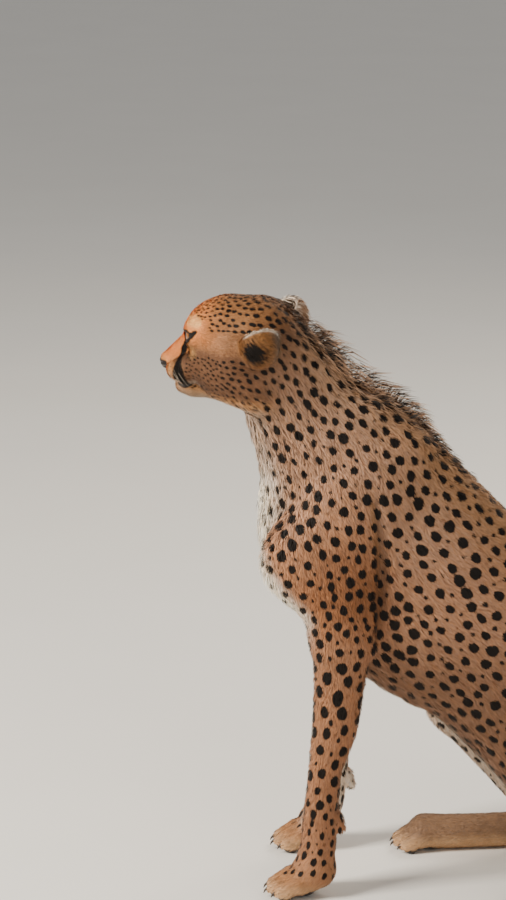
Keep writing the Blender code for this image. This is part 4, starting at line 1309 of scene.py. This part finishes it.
def smooth_field(X, T, times):
    """Average a vertex quantity over its neighbours."""
    E = np.concatenate([T[:, [0, 1]], T[:, [1, 2]], T[:, [2, 0]]])
    E = np.concatenate([E, E[:, ::-1]])
    deg = np.bincount(E[:, 0], minlength=len(X)).astype(float)[:, None]
    for _ in range(times):
        S = np.stack([np.bincount(E[:, 0], X[E[:, 1], i], len(X)) for i in range(X.shape[1])], 1)
        X = 0.4 * X + 0.6 * S / np.maximum(deg, 1)
    return X


H_BODY, H_HEAD = ((0.0032, 0.0015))
Vb, Tb, ringb = patch((-0.24, -0.22, -0.002), (0.40, 0.76, 0.86), H_BODY, 1)
Vh, Th, ringh = patch((-0.15, -0.31, 0.66), (0.15, 0.06, 0.95), H_HEAD, -1)
V = np.vstack([Vb, Vh])
T = np.vstack([Tb, Th + len(Vb)])
band = join_rings(V, ringb, ringh + len(Vb))
T = np.vstack([T, band])
tmp = make_mesh("tmp", V, T)
bm = bmesh.new()
bm.from_mesh(tmp)
bmesh.ops.recalc_face_normals(bm, faces=bm.faces[:])
T = np.array([[v.index for v in f.verts] for f in bm.faces])
OPEN_EDGES = sum(1 for e in bm.edges if e.is_boundary)
bm.free()
bpy.data.meshes.remove(tmp)
N, areas = vertex_normals(V, T)
if (N[:, 2] * (V[:, 2] - 0.45)).mean() < 0:
    T = T[:, ::-1]
    N = -N
flow, C = anatomy(V)
flow = smooth_field(rows(flow), T, 10)
flow = rows(flow - (flow * N).sum(1, keepdims=True) * N)
C = smooth_field(C, T, 6)
print("skin", len(V), "verts", len(T), "tris, open edges", OPEN_EDGES)

spots = throw_spots(V, T, N, flow, C, areas)
print("spots", len(spots["P"]))


def flecks():
    """Small brown flecks between the spots."""
    body_ = 1 - cat(C, "head", "paw", "foot", "tail")[T[:, 0]]
    w = areas * np.clip(body_, 0, 1)
    pick = rng.choice(len(T), 5200, p=w / w.sum())
    P = V[T[pick]].mean(1)
    d = spot_distance(P, spots)
    k = np.nonzero(d > 0.0042)[0]
    P, n, f = P[k], N[T[pick[k], 0]], flow[T[pick[k], 0]]
    m = len(k)
    R = np.abs(rng.normal(0.0013, 0.0007, m)).clip(0.0005, 0.0030)
    return dict(P=P, N=n, F=f, B=np.cross(n, f), R=R, A=rng.uniform(1.0, 1.5, m), W=rng.random((m, 3)) * 2 * pi)


fleck_spots = flecks()
skin_me = make_mesh("skin", V - ORIGIN, T)
skin_dark = black(V, C, spots)
skin_tone = tone(V, N, C)


def bare_part(P, N):
    """Naked skin: nose leather, lid rims, lip line and soles."""
    L = to_head(P)
    M = L.copy()
    M[:, 0] = np.abs(M[:, 0])
    near = (np.abs(P - HEAD_AT) < 0.17).all(1)
    nose = ellipsoid(M - (0, -0.1302, -0.0450), (0.0184, 0.0134, 0.0100))
    b = 1 - ramp(nose, -0.0008, 0.0008)
    a, g, r = lid_opening(M)
    b = np.maximum(b, (g > 0) * (r < EYE_RADIUS + 0.006) * (1 - ramp(a, 0.0005, 0.0014)))
    b = np.maximum(b, 1 - ramp(path_distance(M, MOUTH), 0.0002, 0.0012))
    b = np.where(near, b, 0)
    sole = np.zeros(len(P))
    low = np.nonzero(P[:, 2] < 0.016)[0]
    for c, rr in PADS:
        e = ellipsoid(P[low] - c, rr)
        sole[low] = np.maximum(sole[low], (1 - ramp(e, 0.0006, 0.0022)) * ramp(-N[low, 2], 0.05, 0.45))
    return np.maximum(b, sole)


skin_bare = bare_part(V, N)
set_colour(skin_me, "tone", skin_tone)
set_float(skin_me, "dark", skin_dark)
set_float(skin_me, "rust", np.clip(spot_distance(V, fleck_spots), -0.02, 0.02))
set_float(skin_me, "bare", skin_bare)
skin = put("skin", skin_me, skin_material())
FLESH = [n for n in frame["nodes"] if not n.startswith("eye_")]
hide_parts(*FLESH)

# ------------------------------------------------------------------ coat
def hair_size(P, N, C):
    L = sum(C[:, i] * HAIR[n][0] for i, n in enumerate(CATS))
    W = sum(C[:, i] * HAIR[n][1] for i, n in enumerate(CATS))
    cover = sum(C[:, i] * HAIR[n][2] for i, n in enumerate(CATS)) * (1 + 1.1 * crest(P))
    V3 = np.array((0, -0.80, -0.60))
    pale = ramp(N @ V3, 0.40, 0.85) * cat(C, "trunk", "neck", "haunch")
    L = L * (1 + 0.75 * pale)
    k = crest(P)
    L = L * (1 + 1.4 * k * (1 - 0.35 * ramp(P[:, 1], -0.02, 0.10)))
    W = W * (1 + 0.45 * k)
    Lh = to_head(P)
    hd = cat(C, "head")
    a = np.abs(Lh[:, 0])
    # muzzle and lids shortest, ruff of the cheek longer
    small = hd * ramp(-Lh[:, 1], 0.060, 0.100)
    L = L * (1 - 0.45 * small)
    W = W * (1 - 0.30 * small)
    ruff = hd * ramp(Lh[:, 1], -0.020, 0.030) * ramp(-Lh[:, 2], 0.020, 0.060)
    L = L * (1 + 0.9 * ruff)
    on, inner = ear_part(P)
    L = L * (1 - 0.30 * on) * (1 + 1.8 * inner)
    end = cat(C, "tail") * ramp(tail_length(P), TAIL_LENGTH - 0.06, TAIL_LENGTH)
    L = L * (1 + 0.9 * end)
    return L, W, cover, on, inner


mid = V[T].mean(1)
fN = rows(N[T].mean(1))
fC = C[T].mean(1)
fL, fW, fcov, f_on, f_in = hair_size(mid, fN, fC)
dens = fcov / (fL * fW * 0.62)
small = cat(fC, "head") * ramp(-to_head(mid)[:, 1], 0.055, 0.10)
dens = dens * areas
dens[skin_bare[T].max(1) > 0.35] = 0
dens[mid[:, 2] < 0.0025] = 0
a_, g_, r_ = lid_opening(np.stack([np.abs(to_head(mid)[:, 0]), to_head(mid)[:, 1], to_head(mid)[:, 2]], 1))
dens[(g_ > 0) & (a_ < 0.0022) & (r_ < EYE_RADIUS + 0.006)] = 0
TOTAL = 440000
want = dens.sum()
scale = min(1.0, TOTAL / want)
print("tufts wanted", int(want), "scale", round(scale, 3))
n_tufts = int(min(want, TOTAL) * SHARE)
pick = np.sort(rng.choice(len(T), n_tufts, p=dens / dens.sum()))
b = rng.random((n_tufts, 2))
flip = b.sum(1) > 1
b[flip] = 1 - b[flip]
bc = np.stack([1 - b.sum(1), b[:, 0], b[:, 1]], 1)


def at_roots(X):
    return (X[T[pick]] * bc[:, :, None]).sum(1)


P0 = at_roots(V)
N0 = rows(at_roots(N))
F0 = at_roots(flow)
F0 = rows(F0 - (F0 * N0).sum(1, keepdims=True) * N0)
C0 = at_roots(C)
L0, W0, _, on0, in0 = hair_size(P0, N0, C0)
L0 = L0 * rng.normal(1.0, 0.22, n_tufts).clip(0.5, 1.7) / np.sqrt(SHARE)
W0 = W0 * rng.normal(1.0, 0.20, n_tufts).clip(0.5, 1.6) / np.sqrt(SHARE * scale)
depth = inset(P0) * rng.normal(1.0, 0.22, n_tufts).clip(0.45, 1.6)
k0 = crest(P0)
breast = ramp(N0 @ np.array((0, -0.80, -0.60)), 0.35, 0.75) * cat(C0, "trunk", "neck") * ramp(P0[:, 2], 0.44, 0.50) * (1 - ramp(P0[:, 2], 0.58, 0.64))
L0 = L0 * (1 + 0.35 * breast)
depth = depth * (1 + 0.75 * k0 + 1.3 * breast)
lift = np.arcsin(np.clip(depth / L0 * 1.05, 0.06, 0.75))
in_spot = spot_distance(P0, spots) < 0.0012
L0 = L0 * np.where(in_spot, 1 + 0.35 * k0, 1 - 0.38 * k0)
lift = lift * np.where(in_spot, 1 + 0.75 * k0, 1 - 0.30 * k0)
W0 = W0 * np.where(in_spot, 1 + 0.9 * k0, 1.0)
# soft clumps: neighbouring hairs turn together
swirl = (0.13 * np.sin(P0 @ np.array((150, 210, 90)) + 1.0) + 0.11 * np.sin(P0 @ np.array((-120, 160, 240)) + 2.0)
         + rng.normal(0, 0.13, n_tufts))
B0 = np.cross(N0, F0)
D0 = rows(F0 * np.cos(swirl)[:, None] + B0 * np.sin(swirl)[:, None])
# each hair turns a little about its own length
roll = rng.normal(0, 0.35, n_tufts)
side = rows(np.cross(N0, D0) * np.cos(roll)[:, None] + N0 * np.sin(roll)[:, None])


def along(t, k):
    a = lift * k
    return P0 + (L0 * t)[:, None] * (D0 * np.cos(a)[:, None] + N0 * np.sin(a)[:, None])


base = P0 - N0 * 0.0005
mid_ = along(0.52, 1.35)
tip = along(1.0, 0.85)
# dark hairs of each spot on the crest draw together into a tuft
drawn = np.nonzero(in_spot & (k0 > 0.08))[0]
centres = KDTree(len(spots["P"]))
for i, p in enumerate(spots["P"]):
    centres.insert(p, i)
centres.balance()
if len(drawn):
    own = np.array([centres.find(p)[1] for p in P0[drawn]])
    pull = (spots["P"][own] - P0[drawn]) * np.clip(k0[drawn] * 2.5, 0, 1)[:, None]
    mid_[drawn] += pull * 0.35
    tip[drawn] += pull * 0.92
hw = (W0 * 0.5)[:, None]
X = np.empty((n_tufts, 5, 3))
X[:, 0], X[:, 1] = base - side * hw, base + side * hw
X[:, 2], X[:, 3] = mid_ - side * hw * 0.85, mid_ + side * hw * 0.85
X[:, 4] = tip
X[:, :, 2] = np.maximum(X[:, :, 2], 0.0004)

# markings along each hair: the marks of the coat lie a little down the hair from its root
ahead = rng.uniform(0.0, 0.25, n_tufts)
dark0 = black(P0, C0, spots)
dark1 = black(P0 + D0 * (L0 * 0.52 * (1 - ahead))[:, None], C0, spots)
dark2 = black(P0 + D0 * (L0 * (1 - ahead))[:, None], C0, spots)
rust0 = np.clip(spot_distance(P0, fleck_spots), -0.02, 0.02)
rust1 = np.clip(spot_distance(P0 + D0 * (L0 * 0.52)[:, None], fleck_spots), -0.02, 0.02)
tone0 = tone(P0, N0, C0)
light = (1.0 + rng.normal(0.0, 0.10, n_tufts) * (1 + 0.7 * cat(C0, "head"))).clip(0.6, 1.4)
warm = rng.normal(0.0, 0.045, n_tufts)
tone0 = tone0 * light[:, None] * np.stack([1 + warm, np.ones(n_tufts), 1 - 1.6 * warm], 1)
# dark-tipped long hairs along the nape and withers
streak = (rng.random(n_tufts) < 0.06 * k0 + cat(C0, "neck") * (0.10 + 0.14 * ramp(N0 @ np.array((0, -0.80, -0.60)), 0.1, 0.6))) * 1.0
tone0 = tone0 * (1 - 0.55 * streak)[:, None]
# painted shade: each hair darker at its root, where the hairs over it shade it, and a little lighter at the tip
root_painted_shade = (0.80, 0.80, 1.0, 1.0, 1.10)

TOPS = ["head", "neck", "trunk", "foreleg", "hindleg", "foot", "tail"]
region = np.empty(len(T), int)
c_ = fC
group = np.stack([cat(c_, "head"), cat(c_, "neck"), cat(c_, "trunk"), cat(c_, "arm", "fore"), cat(c_, "haunch", "shank"),
                  cat(c_, "paw", "foot"), cat(c_, "tail")], 1)
region = group.argmax(1)


def unwrap(faces):
    """UV of each corner of the given faces of the skin, on islands of its own shape."""
    used, inv = np.unique(T[faces], return_inverse=True)
    me = make_mesh("unwrap", V[used], inv.reshape(-1, 3))
    me.uv_layers.new(name="OFBake")
    ob = bpy.data.objects.new("unwrap", me)
    bpy.context.scene.collection.objects.link(ob)
    for o in bpy.context.view_layer.objects:
        o.select_set(False)
    bpy.context.view_layer.objects.active = ob
    ob.select_set(True)
    bpy.ops.object.mode_set(mode="EDIT")
    bpy.ops.mesh.select_all(action="SELECT")
    bpy.ops.uv.smart_project(angle_limit=radians(75), island_margin=0.004, area_weight=0.0, correct_aspect=False)
    bpy.ops.object.mode_set(mode="OBJECT")
    uv = np.empty(len(faces) * 6, np.float32)
    me.uv_layers["OFBake"].data.foreach_get("uv", uv)
    bpy.data.objects.remove(ob, do_unlink=True)
    bpy.data.meshes.remove(me)
    return uv.reshape(-1, 3, 2)


corner = np.zeros((len(T), 3, 2), np.float32)
for r_i in range(len(TOPS)):
    fs = np.nonzero(region == r_i)[0]
    if len(fs):
        corner[fs] = unwrap(fs)
root_uv = (corner[pick] * bc[:, :, None]).sum(1)
PATCH = np.array([(0.0, 0.0), (0.003, 0.0), (0.0, 0.0015), (0.003, 0.0015), (0.0015, 0.003)]) - 0.0015
TRI = np.array([(0, 3, 1), (0, 2, 3), (2, 4, 3)])

coat_mat = fur_material("coat").mat
made = 0
for r_i, top in enumerate(TOPS):
    ids = np.nonzero(region[pick] == r_i)[0]
    parts = max(1, int(np.ceil(len(ids) / 64000)))
    if parts > 1:
        # lengths of the body, from front to back
        order = np.argsort(P0[ids, 1] if top != "head" else to_head(P0[ids])[:, 1], kind="stable")
        chunks = np.array_split(ids[order], parts)
    else:
        chunks = [ids]
    for j, ch in enumerate(chunks):
        if len(ch) == 0:
            continue
        m = len(ch)
        co = (X[ch] - ORIGIN).reshape(-1, 3)
        tri = (np.arange(m)[:, None, None] * 5 + TRI[None]).reshape(-1, 3)
        uvv = np.clip(root_uv[ch][:, None, :] + PATCH[None], 0.0005, 0.9995).reshape(-1, 2)
        me = make_mesh("coat_%s_%d" % (top, j), co, tri, uvv[tri.ravel()])
        col = np.stack([tone0[ch] * g for g in root_painted_shade], 1).reshape(-1, 3)
        set_colour(me, "tone", np.clip(col, 0.0, 1.0))
        set_float(me, "dark", np.stack([dark0[ch], dark0[ch], dark1[ch], dark1[ch], dark2[ch]], 1).ravel())
        set_float(me, "rust", np.stack([rust0[ch], rust0[ch], rust1[ch], rust1[ch], rust1[ch]], 1).ravel())
        nn = rows(N0[ch] * 0.75 + D0[ch] * 0.10 + np.cross(D0[ch], side[ch]) * -0.25)
        nn = np.repeat(nn, 5, 0)
        me.normals_split_custom_set_from_vertices(nn.tolist())
        ob = put("coat_%s_%d" % (top, j), me, coat_mat)
        made += m
print("tufts", made)

# ------------------------------------------------------------------ eyes
def eye(name, s, mat):
    u, w = 64, 40
    rows_, tris = [], []
    g = EG * (s, 1, 1)
    h = EH * (s, 1, 1)
    k = EW * (s, 1, 1)
    c = EYE_AT * (s, 1, 1)
    pts, ring, spoke = [], [], []
    pts.append((0, 0, 1)); ring.append(0); spoke.append(0)
    for i in range(1, w):
        th = pi * i / w
        for j in range(u):
            ph = 2 * pi * j / u
            pts.append((sin(th) * cos(ph), sin(th) * sin(ph), cos(th)))
            ring.append(th)
            spoke.append(0.5 + 0.5 * cos(ph * 7.0))
    pts.append((0, 0, -1)); ring.append(pi); spoke.append(0)
    pts, ring = np.array(pts), np.array(ring)
    bulge = 1 + 0.045 * (1 - ramp(ring, 0.0, 0.80))
    Q = pts * (EYE_RADIUS * bulge)[:, None]
    Lc = c + Q[:, :1] * h + Q[:, 1:2] * k + Q[:, 2:] * g
    P = Lc @ TURN.T + HEAD_AT
    tr = []
    for j in range(u):
        tr.append((0, 1 + j, 1 + (j + 1) % u))
        for i in range(w - 2):
            a, b_ = 1 + i * u + j, 1 + i * u + (j + 1) % u
            tr += [(a, a + u, b_ + u), (a, b_ + u, b_)]
        last = 1 + (w - 2) * u
        tr.append((last + j, len(pts) - 1, last + (j + 1) % u))
    tr = np.array(tr)
    if s < 0:
        tr = tr[:, ::-1]
    me = make_mesh(name, P - ORIGIN, tr)
    n, _ = vertex_normals(P, tr)
    set_float(me, "ring", ring)
    set_float(me, "spoke", np.array(spoke))
    ob = put(name, me, mat)
    return ob


eye_mat = eye_material()
for s, n in ((1, "left"), (-1, "right")):
    e = eye("eyeball_" + n, s, eye_mat)
    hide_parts("eye_" + n)


# ------------------------------------------------------------------ whiskers and claws
def tube(points, radii, sides=6):
    pts = np.array(points)
    out, tri = [], []
    for i, (p, r) in enumerate(zip(pts, radii)):
        t = unit(pts[min(i + 1, len(pts) - 1)] - pts[max(i - 1, 0)])
        a = unit(np.cross(t, (0.3, 0.2, 0.93)))
        b2 = np.cross(t, a)
        for j in range(sides):
            ph = 2 * pi * j / sides
            out.append(p + r * (cos(ph) * a + sin(ph) * b2))
    for i in range(len(pts) - 1):
        for j in range(sides):
            a, b2 = i * sides + j, i * sides + (j + 1) % sides
            tri += [(a, b2, b2 + sides), (a, b2 + sides, a + sides)]
    n = len(out)
    out += [pts[0], pts[-1]]
    for j in range(sides):
        tri.append((n, (j + 1) % sides, j))
        tri.append((n + 1, n - sides + j, n - sides + (j + 1) % sides))
    return np.array(out), np.array(tri)


def join(parts):
    Vs, Ts, n = [], [], 0
    for v, t in parts:
        Vs.append(v)
        Ts.append(t + n)
        n += len(v)
    return np.vstack(Vs), np.vstack(Ts)


def onto_skin(P, steps=40):
    """Move points along the slope of the hide until they lie on it."""
    for _ in range(steps):
        g = np.stack([(hide(P + d) - hide(P - d)) / 0.001 for d in np.eye(3) * 0.0005], 1)
        P = P - (hide(P) * 0.8)[:, None] * rows(g)
    return P


wr = WHISKERS
long_parts = []
for s in (1, -1):
    R_ = onto_skin((wr * (s, 1, 1)) @ TURN.T + HEAD_AT, 12)
    for i, p in enumerate(R_):
        if i % 2 == 1:
            continue
        L_ = 0.024 + 0.018 * rng.random()
        d = unit((s * 0.90, 0.35 + 0.25 * rng.random(), -0.20 + 0.25 * rng.random()))
        d = TURN @ d
        dn = np.array((0, 0, -1.0))
        pts = [p + d * (L_ * t) + dn * (0.010 * t * t) + (TURN @ np.array((0, 1.0, 0))) * (0.014 * t * t) for t in np.linspace(-0.02, 1, 7)]
        long_parts.append(tube(pts, [0.00023 * (1 - 0.80 * t) for t in np.linspace(0, 1, 7)], 5))
Vw, Tw = join(long_parts)
whisk = put("whiskers", make_mesh("whiskers", Vw - ORIGIN, Tw), simple_material("whisker", lin(150, 132, 112), lin(196, 180, 160), 300.0))

claw_parts = []
for i, s in enumerate((1, -1)):
    px = FOREPAW_X[i]
    py = 0.0 if s > 0 else RIGHT_LEG_BACK[-1]
    for tx, ty, sp in TOES:
        x, y = px + tx + sp * 1.1, -0.0985 + ty + py
        pts = [(x, y + 0.008, 0.0150), (x, y + 0.003, 0.0150), (x + sp * 0.1, y - 0.002, 0.0132), (x + sp * 0.2, y - 0.0055, 0.0098), (x + sp * 0.2, y - 0.0075, 0.0058)]
        claw_parts.append(tube(np.array(pts), [0.0026, 0.0026, 0.0023, 0.0016, 0.0005], 8))
    fx, ty0 = HIND_TOE[i]
    for tx, dy, sp in HIND_TOES:
        x, y = fx + tx + sp * 1.1, ty0 + 0.0025 + dy
        pts = [(x, y + 0.008, 0.0150), (x, y + 0.003, 0.0150), (x + sp * 0.1, y - 0.002, 0.0132), (x + sp * 0.2, y - 0.0055, 0.0098), (x + sp * 0.2, y - 0.0075, 0.0058)]
        claw_parts.append(tube(np.array(pts), [0.0026, 0.0026, 0.0023, 0.0016, 0.0005], 8))
Vc, Tc = join(claw_parts)
claws = put("claws", make_mesh("claws", Vc - ORIGIN, Tc), simple_material("horn", lin(34, 26, 22), lin(74, 60, 50), 500.0))

# ------------------------------------------------------------------ stage, light, camera
bm = bmesh.new()
bmesh.ops.create_grid(bm, x_segments=2, y_segments=2, size=30.0)
for v in bm.verts:
    v.co.z = -0.0006
fme = bpy.data.meshes.new("floor")
bm.to_mesh(fme)
bm.free()
floor = bpy.data.objects.new("floor", fme)
bpy.context.scene.collection.objects.link(floor)
fm = Nodes("floor")
fm.link(fm.mix(fm.noise(3.0, 2.0), lin(226, 222, 215), lin(231, 227, 220)), fm.bsdf.inputs["Base Color"])
fm.bsdf.inputs["Roughness"].default_value = 0.9
fme.materials.append(fm.mat)


def area_light(name, at, aim, size, power, colour):
    d = bpy.data.lights.new(name, "AREA")
    d.shape = "SQUARE"
    d.size = size
    d.energy = power
    d.color = colour
    o = bpy.data.objects.new(name, d)
    o.location = at
    o.rotation_euler = (Vector(aim) - Vector(at)).to_track_quat("-Z", "Y").to_euler()
    bpy.context.scene.collection.objects.link(o)
    return o


area_light("key", (1.6, -3.5, 3.0), (0, 0, 0.45), 1.4, 390, (1.0, 0.94, 0.84))
area_light("fill", (3.6, 2.0, 1.8), (0, 0, 0.4), 3.0, 55, (1.0, 0.97, 0.92))
area_light("rim", (-2.6, 1.6, 3.0), (0, 0, 0.5), 2.0, 90, (1.0, 0.90, 0.76))

world = bpy.data.worlds.new("world")
bpy.context.scene.world = world
world.use_nodes = True
bg = world.node_tree.nodes["Background"]
bg.inputs["Color"].default_value = (0.92, 0.92, 0.92, 1)
bg.inputs["Strength"].default_value = 0.44

cam = bpy.data.cameras.new("camera")
cam.lens = 143.0
cam.sensor_width = 36.0
cam.sensor_fit = "AUTO"
cam.clip_end = 200
co = bpy.data.objects.new("camera", cam)
co.location = (5.2 - ORIGIN[0], -0.122 - ORIGIN[1], 1.9)
co.rotation_euler = (radians(90 - 13.32), 0, radians(90))
bpy.context.scene.collection.objects.link(co)
bpy.context.scene.camera = co
